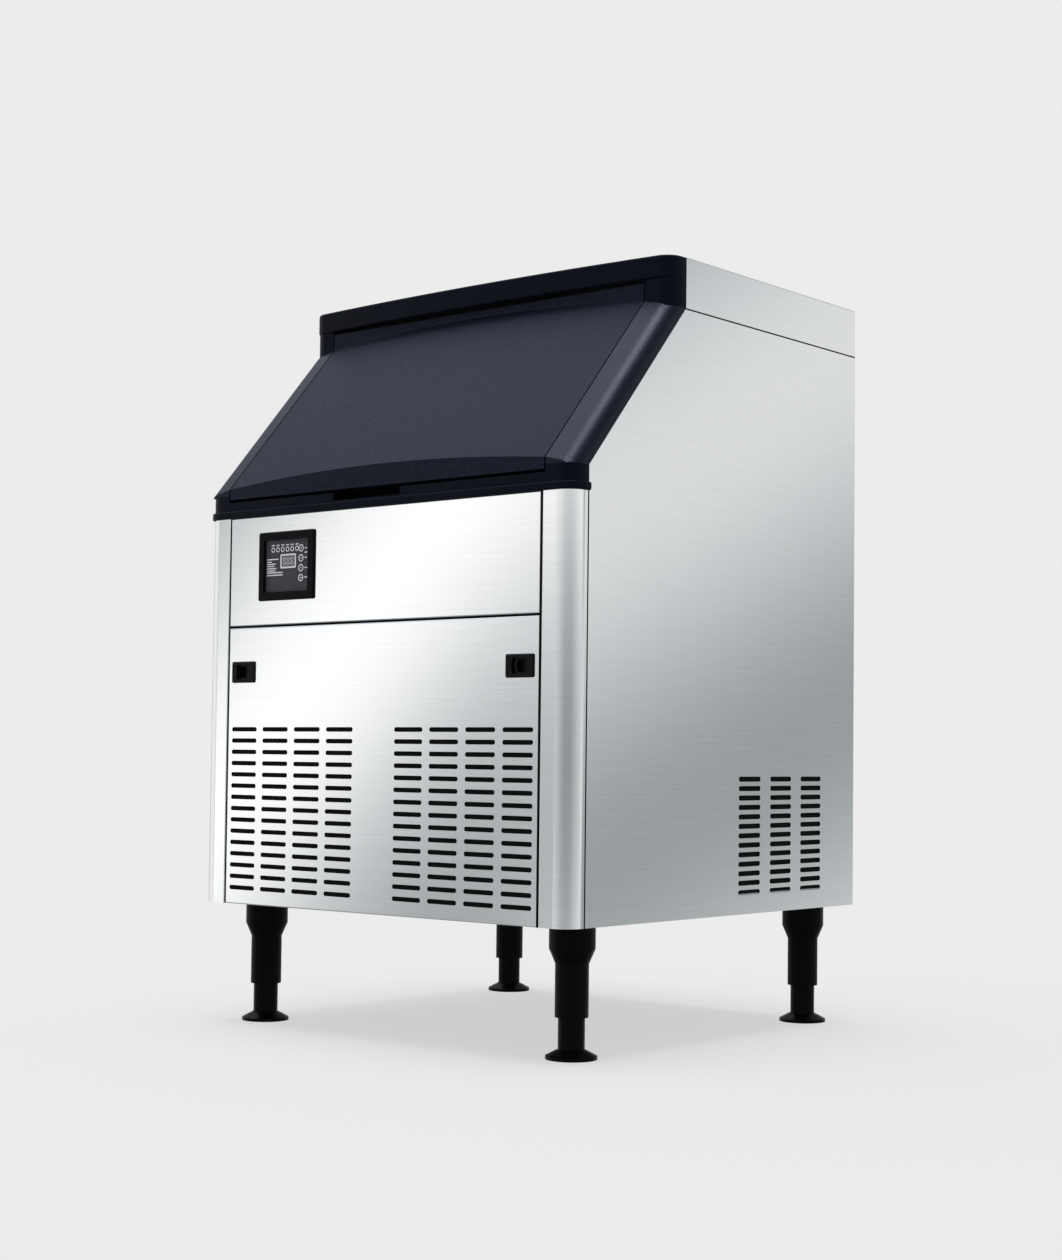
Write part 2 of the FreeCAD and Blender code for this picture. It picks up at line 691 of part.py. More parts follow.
def rear_panel():
    """Rear panel with vents, service holes and a tongue behind the top cover."""
    skin = box(-XI, XI, YRI, YR, ZB, Z_PANEL_TOP)
    half = XI - FLANGE - SIDE_SEAM
    tongue = box(-half, half, YRI - SHEET, YRI, Z_PANEL_TOP - JOGGLE, Z_PANEL_TOP + JOGGLE)
    grid = slot_grid(REAR_SLOT_START, REAR_SLOT, REAR_SLOT_H, REAR_SLOT_COLS, REAR_SLOT_PITCH_X,
                     ZB + REAR_SLOT_LOW, REAR_SLOT_ROWS, REAR_SLOT_PITCH_Z)
    tools = [front_prism(slot, YRI - PAST, YR + PAST) for slot in grid]
    start = YRI - PAST
    depth = SHEET + 2 * PAST
    tools.append(rod(INLET_R + FIT, V(VALVE_X, start, VALVE_Z), AXIS_Y, depth))
    tools.append(rod(DRAIN_R + FIT, V(DRAIN_X, start, DRAIN_Z), AXIS_Y, depth))
    tools.append(rod(GLAND_R + FIT, V(GLAND_X, start, ZB + GLAND_HEIGHT), AXIS_Y, depth))
    tools += [rod(SCREW_R + PIN_FIT, V(p.x, start, p.z), AXIS_Y, depth) for p in screw_places()]
    return fused([skin, tongue]).cut(Part.makeCompound(tools))


def top_cover():
    """Lid folded down on all four edges, butting the header at its front."""
    lid = box(-XO, XO, Y_EDGE_TOP, YR, Z_SEAM, ZT)

    def folded(edge):
        along_top = on_level(edge, ZT) and not on_front(edge, Y_EDGE_TOP)
        upright = edge.BoundBox.ZLength > SHEET and on_front(edge, YR)
        return along_top or upright

    lid = rounded(lid, BEND_R, folded)
    return lid.cut(box(-XI, XI, Y_EDGE_TOP + SHEET, YRI, Z_SEAM - PAST, ZT - SHEET))


def front_column():
    """Right front column: round corner, folded ledge for the front panels, tongue behind the side panel."""
    y_end = Y_EDGE_LOW - SIDE_SEAM
    section = [(XO, y_end, 0), (XO, YF, CORNER_R), (X_SEAM, YF, BEND_R), (X_SEAM, Y_LANDING, 0),
               (X_SEAM - LANDING, Y_LANDING, 0), (X_SEAM - LANDING, Y_LANDING + SHEET, 0),
               (X_SEAM + SHEET, Y_LANDING + SHEET, 0), (X_SEAM + SHEET, YF + SHEET, 0),
               (XI, YF + SHEET, CORNER_R - SHEET), (XI, y_end, 0)]
    skin = plan_prism(section, ZB, Z_SILL)
    tongue = box(XI - SHEET, XI, y_end - JOGGLE / 2, y_end + JOGGLE,
                 BASE_TOP + BASE_LIP + FIT, Z_SILL - SHEET)
    return fused([skin, tongue])


def upper_front_panel():
    """Upper front panel with the cut-out of the control panel."""
    half_w = BEZEL_W / 2 - BEZEL_LAP
    half_h = BEZEL_H / 2 - BEZEL_LAP
    opening = rect(BEZEL_X - half_w, BEZEL_X + half_w, BEZEL_ZC - half_h, BEZEL_ZC + half_h)
    return front_tray(Z_UPPER, Z_SILL).cut(front_prism(opening, YF - PAST, YF + PAST))


def lower_front_panel():
    """Lower front panel with two groups of vents and the cut-outs of the latches."""
    start = X_PANEL - FRONT_SLOT_EDGE - FRONT_SLOT - (FRONT_SLOT_COLS - 1) * FRONT_SLOT_PITCH_X
    grid = slot_grid(start, FRONT_SLOT, FRONT_SLOT_H, FRONT_SLOT_COLS, FRONT_SLOT_PITCH_X,
                     ZB + FRONT_SLOT_LOW, FRONT_SLOT_ROWS, FRONT_SLOT_PITCH_Z)
    slots = [front_prism(slot, YF - PAST, YF + PAST) for slot in grid]
    half_w = LATCH_W / 2 - LATCH_RIM
    half_h = LATCH_H / 2 - LATCH_RIM
    opening = rect(LATCH_X - half_w, LATCH_X + half_w, LATCH_ZC - half_h, LATCH_ZC + half_h)
    slots.append(front_prism(opening, YF - PAST, YF + PAST))
    right = Part.makeCompound(slots)
    return front_tray(ZB, Z_LOWER).cut(Part.makeCompound([right, mirrored(right)]))


def frame_plan(inset, front, rear, apex=0.0):
    """Plan of the frame across the machine, drawn in by inset, with an optional bowed front."""
    x = XO - inset
    radius = CORNER_R - inset
    corners = [(-x, rear, 0), (-x, front + inset, radius), (x, front + inset, radius), (x, rear, 0)]
    if apex > 0:
        reach = XO - CORNER_R
        bow_r = reach * x / apex
        corners.insert(2, (0, front + inset - apex, bow_r))
    return corners


def end_plan(inset, front, rear):
    """Plan of the frame's right end beside the door, drawn in by inset."""
    return [(X_RAIL + inset, rear, 0), (X_RAIL + inset, front + inset, 0),
            (XO - inset, front + inset, CORNER_R - inset), (XO - inset, rear, 0)]


def frame_sill():
    """Sill under the door: bead along its bottom, ledge, ends that carry the rails, finger pocket."""
    rear = Y_SIDE_LOW
    bead = plan_prism(frame_plan(-LIP_OUT, YF, rear), Z_SILL, Z_SILL + LIP_HEIGHT)
    bead = rounded(bead, LIP_ROUND, lambda edge: is_rim(edge, rear))
    body = plan_prism(frame_plan(0, YF, rear), Z_SILL, Z_LEDGE)
    end = plan_prism(end_plan(0, YF, rear), Z_SILL, Z_SLOPE)
    hollow = plan_prism(frame_plan(FRAME_WALL, YF, rear - FRAME_WALL), Z_SILL - PAST, Z_LEDGE - FRAME_WALL)
    end_hollow = plan_prism(end_plan(FRAME_WALL, YF, rear - FRAME_WALL), Z_SILL - PAST, Z_SLOPE + PAST)
    shell = fused([bead, body, end, mirrored(end)])
    shell = shell.cut(hollow).cut(end_hollow).cut(mirrored(end_hollow))
    x0 = POCKET_CENTRE - POCKET_WIDTH / 2
    x1 = POCKET_CENTRE + POCKET_WIDTH / 2
    y1 = YF + POCKET_DEPTH
    z0 = Z_LEDGE - POCKET_HEIGHT
    cup = box(x0 - FRAME_WALL, x1 + FRAME_WALL, YF + FRAME_WALL, y1 + FRAME_WALL, z0 - FRAME_WALL, Z_LEDGE)
    pocket = box(x0, x1, YF - PAST, y1, z0, Z_LEDGE + PAST)
    rebate = box(XI - FIT, XO + PAST, Y_EDGE_LOW, rear + PAST, Z_SILL - PAST, Z_SLOPE + PAST)
    return fused([shell, cup]).cut(Part.makeCompound([pocket, rebate, mirrored(rebate)]))


def rail_plan(inset, rear):
    """Plan of the right rail, drawn in by inset: proud at the door, level with the sill at the side."""
    return [(X_RAIL + inset, rear, 0), (X_RAIL + inset, YF - RAIL_PROUD + inset, 0),
            (XO - inset, YF + inset, CORNER_R - inset), (XO - inset, rear, 0)]


def up_slope(plan, start, length):
    """Plan run up the slope, with start and length counted in whole slopes from the sill."""
    along = V(0, SLOPE_RUN, SLOPE_RISE)
    wire = outline(plan, lambda p: V(p.x, p.y, Z_SLOPE) + along * start)
    return Part.Face(wire).extrude(along * length)


def frame_rail():
    """Right rail: hollow moulding that runs up the slope beside the door."""
    top = Z_SEAM + SLOPE_PROUD
    skin = up_slope(rail_plan(0, Y_SIDE_LOW), 0, 1 + RAIL_PROUD / SLOPE_RUN)
    hollow = up_slope(rail_plan(FRAME_WALL, Y_SIDE_LOW + PAST), -1, 3)
    hollow = hollow.common(box(0, XO, YF + FRAME_WALL, YR, 0, ZT))
    rebate = up_slope(rect(XI - FIT, XO + PAST, Y_EDGE_LOW, Y_SIDE_LOW + PAST), -1, 3)
    before_sill = box(0, XO + PAST, YF - RAIL_PROUD - PAST, YF, Z_SLOPE - PAST, top)
    header_place = box(0, XO + PAST, Y_HEAD, Y_SIDE_TOP + RAIL_PROUD + PAST, Z_SEAM, top + PAST)
    return skin.cut(hollow).cut(rebate).cut(before_sill).cut(header_place)


def frame_header():
    """Header over the door: bowed band, ends that meet the rails, bearings of the door's trunnions."""
    rear = Y_EDGE_TOP
    apex = HEADER_BOW / (1 - (XO - CORNER_R) / (2 * XO))
    band = plan_prism(frame_plan(0, Y_HEAD, rear, apex), Z_BAND, ZT)
    band = rounded(band, HEADER_ROUND, lambda edge: is_rim(edge, rear))
    end = plan_prism(end_plan(0, Y_HEAD, rear), Z_SEAM, Z_BAND + HEADER_ROUND)
    inner = frame_plan(FRAME_WALL, Y_HEAD, rear + PAST, apex)
    hollow = plan_prism(inner, Z_BAND + FRAME_WALL, ZT - FRAME_WALL)
    end_inner = end_plan(FRAME_WALL, Y_HEAD, rear + PAST)
    end_hollow = plan_prism(end_inner, Z_SEAM - PAST, Z_BAND + 2 * FRAME_WALL)
    boss = rod(HINGE_BOSS_R, V(X_RAIL, HINGE_Y, HINGE_Z), AXIS_X, HINGE_REACH + FRAME_WALL)
    bore = rod(HINGE_R + PIN_FIT, V(X_RAIL - PAST, HINGE_Y, HINGE_Z), AXIS_X, HINGE_REACH + PAST + FIT)
    shell = fused([band, end, mirrored(end)])
    shell = shell.cut(hollow).cut(end_hollow).cut(mirrored(end_hollow))
    shell = fused([shell, boss, mirrored(boss)])
    return shell.cut(bore).cut(mirrored(bore))


def crowned(half, drop, base, s0, s1):
    """Bar up the slope with a crowned outer face, lowered by drop, and a flat back at base."""
    left = V(-half, s0, -drop)
    right = V(half, s0, -drop)
    crown = Part.Arc(left, V(0, s0, DOOR_CROWN - drop), right).toShape()
    back = Part.makePolygon([right, V(half, s0, base), V(-half, s0, base), left]).Edges
    return on_slope(Part.Face(Part.Wire([crown] + back)).extrude(V(0, s1 - s0, 0)))


def bin_door():
    """Door shell: crowned slope, bottom flange, vertical top strip and the two hinge trunnions."""
    reach = SLOPE_LENGTH
    strip_y = Y_HEAD + DOOR_STRIP_THICK
    skin = crowned(DOOR_HALF, -DOOR_PROUD, -DOOR_THICK, -reach, 2 * reach)
    skin = skin.common(box(-XO, XO, YF, strip_y, DOOR_BOTTOM, DOOR_TOP))
    strip = box(-DOOR_HALF, DOOR_HALF, Y_HEAD, strip_y, Z_SEAM - FRAME_WALL, DOOR_TOP)
    hollow = crowned(DOOR_HALF - DOOR_WALL, DOOR_WALL - DOOR_PROUD, -2 * DOOR_THICK, -reach, 2 * reach)
    hollow = hollow.common(box(-XO, XO, YF + DOOR_WALL, Y_HEAD - DOOR_STRIP_THICK,
                               DOOR_BOTTOM + DOOR_WALL, DOOR_TOP - DOOR_STRIP_SOLID))
    length = 2 * (DOOR_HALF + DOOR_GAP + HINGE_REACH)
    trunnion = rod(HINGE_R, V(-length / 2, HINGE_Y, HINGE_Z), AXIS_X, length)
    return fused([fused([skin, strip]).cut(hollow), trunnion])


def bin_door_inner_panel():
    """Flat plate that closes the back of the door."""
    half = DOOR_HALF - INNER_PANEL_EDGE
    base = -DOOR_THICK - INNER_PANEL
    return on_slope(box(-half, half, INNER_PANEL_LOW, INNER_PANEL_TOP, base, -DOOR_THICK))


def bin_door_gasket():
    """Seal along the bottom and both sides of the door's back."""
    half = DOOR_HALF - GASKET_EDGE
    n1 = -DOOR_THICK - INNER_PANEL
    n0 = LINER + FIT - RAIL_DEPTH
    ring = box(-half, half, GASKET_LOW, INNER_PANEL_TOP, n0, n1)
    inner = half - GASKET_WIDTH
    hole = box(-inner, inner, GASKET_LOW + GASKET_WIDTH, INNER_PANEL_TOP + PAST, n0 - PAST, n1 + PAST)
    return on_slope(ring.cut(hole))


def above_slope(lift=0.0):
    """Space in front of the plane that the bin's mouth lies in."""
    y = Y_SIDE_LOW
    z = Z_SLOPE + lift
    corners = [(y - SLOPE_RUN, z - SLOPE_RISE, 0), (y + 2 * SLOPE_RUN, z + 2 * SLOPE_RISE, 0),
               (y - SLOPE_RUN, z + 2 * SLOPE_RISE, 0)]
    return side_prism(corners, -XO, XO)


def service_routes():
    """Paths and radii of the pipes that pass through the bin's walls."""
    liquid = [V(COIL_END, COIL_Y, COIL_Z), V(COIL_END + PIPE_BEND + PIPE_RUN, COIL_Y, COIL_Z)]
    x = liquid[1].x
    low = ZB + LIQUID_RISE
    drier_y = YR - DRIER_Y
    liquid += [V(x, SERVICE_Y, COIL_Z), V(x, SERVICE_Y, low), V(DRIER_X, SERVICE_Y, low),
               V(DRIER_X, drier_y, low), V(DRIER_X, drier_y, ZB + DRIER_Z + DRIER_H + 2 * DRIER_CONE)]
    down = ZB + SUCTION_LOW
    far = x + SUCTION_SHIFT
    stub = V(COMPRESSOR_X + STUB_X, COMP_Y + STUB_X, STUB_TOP)
    suction = [V(COIL_END, COIL_Y, COIL_TOP), V(x, COIL_Y, COIL_TOP), V(x, SERVICE_Y, COIL_TOP),
               V(far, SERVICE_Y, COIL_TOP), V(far, SERVICE_Y, down), V(far, stub.y, down),
               V(stub.x, stub.y, down), stub]
    valve_top = STUB_TOP + HOT_GAS_RISE + GAS_VALVE
    gas_x = COMPRESSOR_X - STUB_X
    gas_y = COMP_Y - STUB_Y
    high = ZB + HOT_GAS_HIGH
    join = ZB + HOT_GAS_JOIN
    hot_gas = [V(gas_x, gas_y, valve_top), V(gas_x, gas_y, high), V(gas_x, SERVICE_Y, high),
               V(gas_x, SERVICE_Y, join), V(x - LIQUID_R - FIT, SERVICE_Y, join)]
    fill_y = BIN_BACK - FILL_BACK
    fill_z = TROUGH_TOP + FILL_Z
    fill = [V(VALVE_X, SERVICE_Y, VALVE_Z + VALVE_BODY_H / 2 + FILL_STUB), V(VALVE_X, SERVICE_Y, fill_z),
            V(VALVE_X, fill_y, fill_z), V(VALVE_X, fill_y, fill_z - FILL_DROP)]
    return {"liquid": (liquid, LIQUID_R), "suction": (suction, SUCTION_R),
            "hot_gas": (hot_gas, DISCHARGE_R), "fill": (fill, FILL_R)}


def drain_route():
    """Path of the bin drain from the bin floor to behind the rear panel."""
    y = YR - DRAIN_Y
    return [V(DRAIN_X, y, BIN_FLOOR), V(DRAIN_X, y, DRAIN_Z), V(DRAIN_X, YR + FITTING_OUT, DRAIN_Z)]


def wall_openings():
    """Clearance round every pipe that passes through the bin's walls."""
    tools = [pipe(route, radius + PIPE_CLEAR, PIPE_BEND) for route, radius in service_routes().values()]
    drop = drain_route()[0]
    start = V(drop.x, drop.y, FOAM_Z0 - PAST)
    tools.append(rod(DRAIN_R - FITTING_NECK + FIT, start, AXIS_Z, BIN_FLOOR - FOAM_Z0 + 2 * PAST))
    return Part.makeCompound(tools)


def bin_liner():
    """Bin tub, open at the top and along the slope, with a rim that the door seals on."""
    tub = box(-LINER_X, LINER_X, LINER_Y0, LINER_Y1, LINER_Z0, LINER_TOP)
    inner = LINER_X - LINER
    tub = tub.cut(box(-inner, inner, LINER_Y0 + LINER, BIN_BACK, BIN_FLOOR, LINER_TOP + PAST))
    tub = tub.cut(above_slope())
    half = X_RAIL - RIM_GAP
    low = FRAME_DEPTH * math.cos(SLOPE)
    mouth = (BIN_FRONT_WALL + LINER - RAIL_DEPTH * math.sin(SLOPE)) / math.cos(SLOPE)
    top = low + (LINER_TOP - Z_SLOPE) / math.sin(SLOPE)
    rim = box(-half, half, low, top, -RAIL_DEPTH, LINER - RAIL_DEPTH)
    rim = on_slope(rim.cut(box(-inner, inner, mouth, top + PAST, -RAIL_DEPTH - PAST, LINER)))
    apron = box(-half, half, Y_SIDE_LOW - RIM_APRON, Y_SIDE_LOW, Z_LEDGE, Z_SLOPE + LINER)
    return fused([tub, rim, apron]).cut(wall_openings())


def bin_insulation():
    """Foam round the bin, with a bay for the control box and passages for the pipes."""
    low = box(-FOAM_X, FOAM_X, FOAM_Y0, FOAM_Y1, FOAM_Z0, Z_SILL - FIT)
    high = box(-FOAM_X, FOAM_X, Y_SIDE_LOW + FIT, FOAM_Y1, FOAM_Z0, LINER_TOP)
    foam = fused([low, high]).cut(above_slope())
    foam = foam.cut(box(-LINER_X, LINER_X, LINER_Y0, LINER_Y1, LINER_Z0, ZT))
    half_w = BEZEL_W / 2 + CONTROL_BAY
    half_h = BEZEL_H / 2 + CONTROL_BAY
    bay = box(BEZEL_X - half_w, BEZEL_X + half_w, YF, YF + CONTROL_BAY_DEPTH,
              BEZEL_ZC - half_h, BEZEL_ZC + half_h)
    return foam.cut(bay).cut(wall_openings())


def top_insulation():
    """Foam slab under the top cover, closing the bin."""
    half = XI - SHEET - FOAM_SIDE_GAP
    return box(-half, half, Y_SIDE_TOP + SHEET + TOP_FOAM_GAP, FOAM_Y1, LINER_TOP, ZT - SHEET)


def evaporator_plate():
    """Freezing plate: grid of square cells open to the front."""
    plate = box(-EVAP_HALF, EVAP_HALF, EVAP_Y0, EVAP_Y1, EVAP_Z0, EVAP_TOP)
    side = CELL - CELL_WALL
    cells = []
    for row in range(CELL_ROWS):
        for col in range(CELL_COLS):
            x = -EVAP_HALF + CELL_WALL + col * CELL
            z = EVAP_Z0 + CELL_WALL + row * CELL
            cells.append(box(x, x + side, EVAP_Y0 - PAST, EVAP_Y0 + CELL_DEPTH, z, z + side))
    return plate.cut(Part.makeCompound(cells))


def evaporator_coil():
    """Serpentine tube on the back of the freezing plate."""
    points = [V(COIL_END, COIL_Y, COIL_Z)]
    turn = COIL_PITCH / 2
    for run in range(COIL_RUNS):
        z = COIL_Z + run * COIL_PITCH
        side = -1 if run % 2 == 0 else 1
        if run < COIL_RUNS - 1:
            points.append(V(side * (COIL_HALF - turn), COIL_Y, z))
            points.append(V(side * (COIL_HALF - turn), COIL_Y, z + COIL_PITCH))
    points.append(V(COIL_END, COIL_Y, COIL_TOP))
    return pipe(points, COIL_R, turn - STRAIGHT)


def evaporator_bracket():
    """Two side plates and a tie that hold the freezing plate and pivot the curtain."""
    y0 = EVAP_Y0 - BRACKET_FRONT
    ear = EVAP_Y0 - BRACKET_FRONT + BRACKET_EAR
    ear_top = CURTAIN_Z + EAR_TOP
    corners = [(y0, TROUGH_TOP, 0), (BIN_BACK, TROUGH_TOP, 0), (BIN_BACK, BRACKET_TOP, 0),
               (ear, BRACKET_TOP, 0), (ear, ear_top, 0), (y0, ear_top, 0)]
    plate = side_prism(corners, EVAP_HALF, EVAP_HALF + BRACKET)
    hole = rod(CURTAIN_PIN_R + PIN_FIT, V(-XO, CURTAIN_Y, CURTAIN_Z), AXIS_X, CABINET_WIDTH)
    tie = box(-EVAP_HALF, EVAP_HALF, BIN_BACK - BRACKET, BIN_BACK, EVAP_TOP - BRACKET_TIE, EVAP_TOP)
    return fused([plate, mirrored(plate), tie]).cut(hole)


def water_curtain():
    """Ribbed flap in front of the freezing plate, with a pivot pin at each end."""
    half = EVAP_HALF - CURTAIN_SIDE_GAP
    low = TROUGH_TOP + CURTAIN_LOW
    flap = box(-half, half, CURTAIN_Y - CURTAIN / 2, CURTAIN_Y + CURTAIN / 2, low, CURTAIN_Z)
    barrel = rod(CURTAIN_BARREL_R, V(-half, CURTAIN_Y, CURTAIN_Z), AXIS_X, 2 * half)
    length = 2 * (EVAP_HALF + BRACKET)
    pin = rod(CURTAIN_PIN_R, V(-length / 2, CURTAIN_Y, CURTAIN_Z), AXIS_X, length)
    ribs = []
    for i in range(CURTAIN_RIBS):
        x = (i - (CURTAIN_RIBS - 1) / 2) * CURTAIN_RIB_PITCH
        ribs.append(box(x - CURTAIN_RIB / 2, x + CURTAIN_RIB / 2, CURTAIN_Y - CURTAIN / 2 - CURTAIN_RIB,
                        CURTAIN_Y, low, CURTAIN_Z))
    return fused([flap, barrel, pin] + ribs)


def water_distributor():
    """Tube with a row of jets along the top of the freezing plate, closed at its right end."""
    tube = rod(DISTRIBUTOR_R, V(-DISTRIBUTOR_X, DISTRIBUTOR_Y, DISTRIBUTOR_Z), AXIS_X, 2 * DISTRIBUTOR_X)
    wall = DISTRIBUTOR_R - DISTRIBUTOR_BORE
    tools = [rod(DISTRIBUTOR_BORE, V(-DISTRIBUTOR_X - PAST, DISTRIBUTOR_Y, DISTRIBUTOR_Z), AXIS_X,
                 2 * DISTRIBUTOR_X + PAST - wall)]
    for i in range(CELL_COLS):
        x = (i - (CELL_COLS - 1) / 2) * CELL
        tools.append(rod(JET_R, V(x, DISTRIBUTOR_Y, DISTRIBUTOR_Z), V(0, 0, -1), DISTRIBUTOR_R + PAST))
    return tube.cut(Part.makeCompound(tools))


def water_trough():
    """Open tray under the freezing plate."""
    y0 = EVAP_Y0 - TROUGH_FRONT
    tray = box(-TROUGH_LEFT, TROUGH_RIGHT, y0, BIN_BACK, TROUGH_Z0, TROUGH_TOP)
    wall = TROUGH_WALL
    return tray.cut(box(wall - TROUGH_LEFT, TROUGH_RIGHT - wall, y0 + wall, BIN_BACK - wall,
                        TROUGH_Z0 + wall, TROUGH_TOP + PAST))


def water_pump():
    """Upright pump standing in the trough, motor above the water."""
    foot = V(PUMP_X, PUMP_Y, PUMP_Z)
    case = rod(PUMP_CASE_R, foot, AXIS_Z, PUMP_CASE_H)
    neck = rod(PUMP_NECK_R, foot, AXIS_Z, PUMP_CASE_H + PUMP_NECK_H)
    motor = rod(PUMP_MOTOR_R, foot + V(0, 0, PUMP_CASE_H + PUMP_NECK_H), AXIS_Z, PUMP_MOTOR_H)
    outlet = rod(DISTRIBUTOR_R, foot + V(0, 0, PUMP_CASE_H / 2), V(0, -1, 0), PUMP_CASE_R + PUMP_OUTLET)
    return fused([case, neck, motor, outlet])


def pump_hose():
    """Hose from the pump's outlet up to the distributor."""
    z = PUMP_Z + PUMP_CASE_H / 2
    start = V(PUMP_X, PUMP_Y - PUMP_CASE_R - PUMP_OUTLET, z)
    points = [start, V(PUMP_X, DISTRIBUTOR_Y, z), V(PUMP_X, DISTRIBUTOR_Y, DISTRIBUTOR_Z),
              V(-DISTRIBUTOR_X, DISTRIBUTOR_Y, DISTRIBUTOR_Z)]
    return pipe(points, DISTRIBUTOR_R, HOSE_BEND)


def water_inlet_valve():
    """Fill valve on the rear panel with a threaded inlet and an outlet for the fill tube."""
    half = VALVE_PLATE_W / 2
    half_w = VALVE_WIDTH / 2
    half_h = VALVE_BODY_H / 2
    low = VALVE_Z - half_h
    high = VALVE_Z + half_h
    plate = box(VALVE_X - half, VALVE_X + half, YRI - VALVE_PLATE, YRI, low, high)
    body = box(VALVE_X - half_w, VALVE_X + half_w, YRI - VALVE_DEPTH, YRI, low, high)
    neck = rod(INLET_R - FITTING_NECK, V(VALVE_X, YRI, VALVE_Z), AXIS_Y, SHEET)
    inlet = rod(INLET_R, V(VALVE_X, YR, VALVE_Z), AXIS_Y, FITTING_OUT)
    stub = rod(FILL_R, V(VALVE_X, SERVICE_Y, VALVE_Z), AXIS_Z, half_h + FILL_STUB)
    start = V(VALVE_X, YR + FITTING_OUT - INLET_BORE_DEPTH, VALVE_Z)
    bore = rod(INLET_BORE, start, AXIS_Y, INLET_BORE_DEPTH + PAST)
    return fused([plate, body, neck, inlet, stub]).cut(bore)


def fill_tube():
    """Tube from the fill valve up the rear wall and into the trough."""
    route, radius = service_routes()["fill"]
    return pipe(route, radius, PIPE_BEND)


def bin_drain():
    """Drain from the bin floor, turned to the rear, with a flange in the bin and a plain spigot behind."""
    route = drain_route()
    flange = rod(DRAIN_FLANGE_R, route[0], AXIS_Z, DRAIN_FLANGE)
    tube = pipe(route, DRAIN_R - FITTING_NECK, DRAIN_BEND)
    spigot = rod(DRAIN_R, V(DRAIN_X, YR, DRAIN_Z), AXIS_Y, FITTING_OUT)
    longer = [route[0] + V(0, 0, PAST), route[1], route[2] + V(0, PAST, 0)]
    return fused([flange, tube, spigot]).cut(pipe(longer, DRAIN_BORE, DRAIN_BEND))


def cord_gland():
    """Gland that a supply cord passes through in the rear panel."""
    start = V(GLAND_X, YRI - GLAND_NUT, ZB + GLAND_HEIGHT)
    nut = rod(GLAND_NUT_R, start, AXIS_Y, GLAND_NUT)
    body = rod(GLAND_R, start, AXIS_Y, GLAND_NUT + SHEET + GLAND_FLANGE)
    flange = rod(GLAND_NUT_R, V(GLAND_X, YR, start.z), AXIS_Y, GLAND_FLANGE)
    bore = rod(GLAND_BORE, start - V(0, PAST, 0), AXIS_Y, GLAND_NUT + SHEET + GLAND_FLANGE + 2 * PAST)
    return fused([nut, body, flange]).cut(bore)


def compressor():
    """Hermetic shell on a foot plate, with a terminal cap and three pipe stubs."""
    centre = V(COMPRESSOR_X, COMP_Y, COMP_Z)
    shell = rod(COMPRESSOR_R, centre, AXIS_Z, COMPRESSOR_HEIGHT)
    shell = rounded(shell, COMPRESSOR_ROUND, lambda edge: edge.BoundBox.ZLength < LEVEL)
    half_x = COMPRESSOR_PLATE_X / 2
    half_y = COMPRESSOR_PLATE_Y / 2
    corners = rect(COMPRESSOR_X - half_x, COMPRESSOR_X + half_x,
                   COMP_Y - half_y, COMP_Y + half_y, GROMMET_R)
    plate = plan_prism(corners, COMP_PLATE_Z, COMP_Z)
    cap_z = COMP_Z + COMPRESSOR_HEIGHT / 2
    cap = box(COMPRESSOR_X - COMPRESSOR_R - COMPRESSOR_CAP_Y, COMPRESSOR_X, COMP_Y - COMPRESSOR_CAP_X / 2,
              COMP_Y + COMPRESSOR_CAP_X / 2, cap_z - COMPRESSOR_CAP_Z / 2, cap_z + COMPRESSOR_CAP_Z / 2)
    ends = ((STUB_X, -STUB_Y, DISCHARGE_R), (-STUB_X, -STUB_Y, DISCHARGE_R), (STUB_X, STUB_X, SUCTION_R))
    stubs = [rod(radius, V(COMPRESSOR_X + x, COMP_Y + y, cap_z), AXIS_Z, STUB_TOP - cap_z)
             for x, y, radius in ends]
    holes = [rod(STUD_R + STUD_FIT, p + V(0, 0, COMP_PLATE_Z - PAST), AXIS_Z, 2 * PAST)
             for p in compressor_feet()]
    return fused([shell, plate, cap] + stubs).cut(Part.makeCompound(holes))


def compressor_mounts():
    """Four rubber grommets between the base pan and the compressor's foot plate."""
    rings = []
    for place in compressor_feet():
        start = place + V(0, 0, BASE_TOP)
        ring = rod(GROMMET_R, start, AXIS_Z, GROMMET_H)
        rings.append(ring.cut(rod(STUD_R + STUD_FIT, start, AXIS_Z, GROMMET_H)))
    return Part.makeCompound(rings)


def condenser():
    """Finned block between two end plates, with return bends and two ports."""
    x0 = CONDENSER_X + CONDENSER_PLATE
    x1 = CONDENSER_END - CONDENSER_PLATE
    core = box(x0, x1, CONDENSER_Y0, CONDENSER_Y1, BASE_TOP + FIN_FOOT, CONDENSER_TOP)
    gap = FIN_PITCH - FIN
    gaps = []
    for i in range(int((x1 - x0) // FIN_PITCH)):
        x = x0 + FIN + i * FIN_PITCH
        gaps.append(box(x, x + gap, CONDENSER_Y0 - PAST, CONDENSER_Y1 - CONDENSER_WEB,
                        BASE_TOP, CONDENSER_TOP + PAST))
    plates = [box(CONDENSER_X, x0, CONDENSER_Y0, CONDENSER_Y1, BASE_TOP, CONDENSER_TOP),
              box(x1, CONDENSER_END, CONDENSER_Y0, CONDENSER_Y1, BASE_TOP, CONDENSER_TOP)]
    bends = []
    for i in range(TUBE_BENDS):
        z = BASE_TOP + TUBE_BEND_LOW + i * TUBE_BEND_PITCH
        x = CONDENSER_X - TUBE_BEND_R - DISCHARGE_R
        above = z + 2 * TUBE_BEND_R + FIT
        points = [V(x0, PORT_Y, z), V(x, PORT_Y, z), V(x, PORT_Y, above), V(x0, PORT_Y, above)]
        bends.append(pipe(points, DISCHARGE_R, TUBE_BEND_R))
    return fused([core.cut(Part.makeCompound(gaps))] + plates + bends)


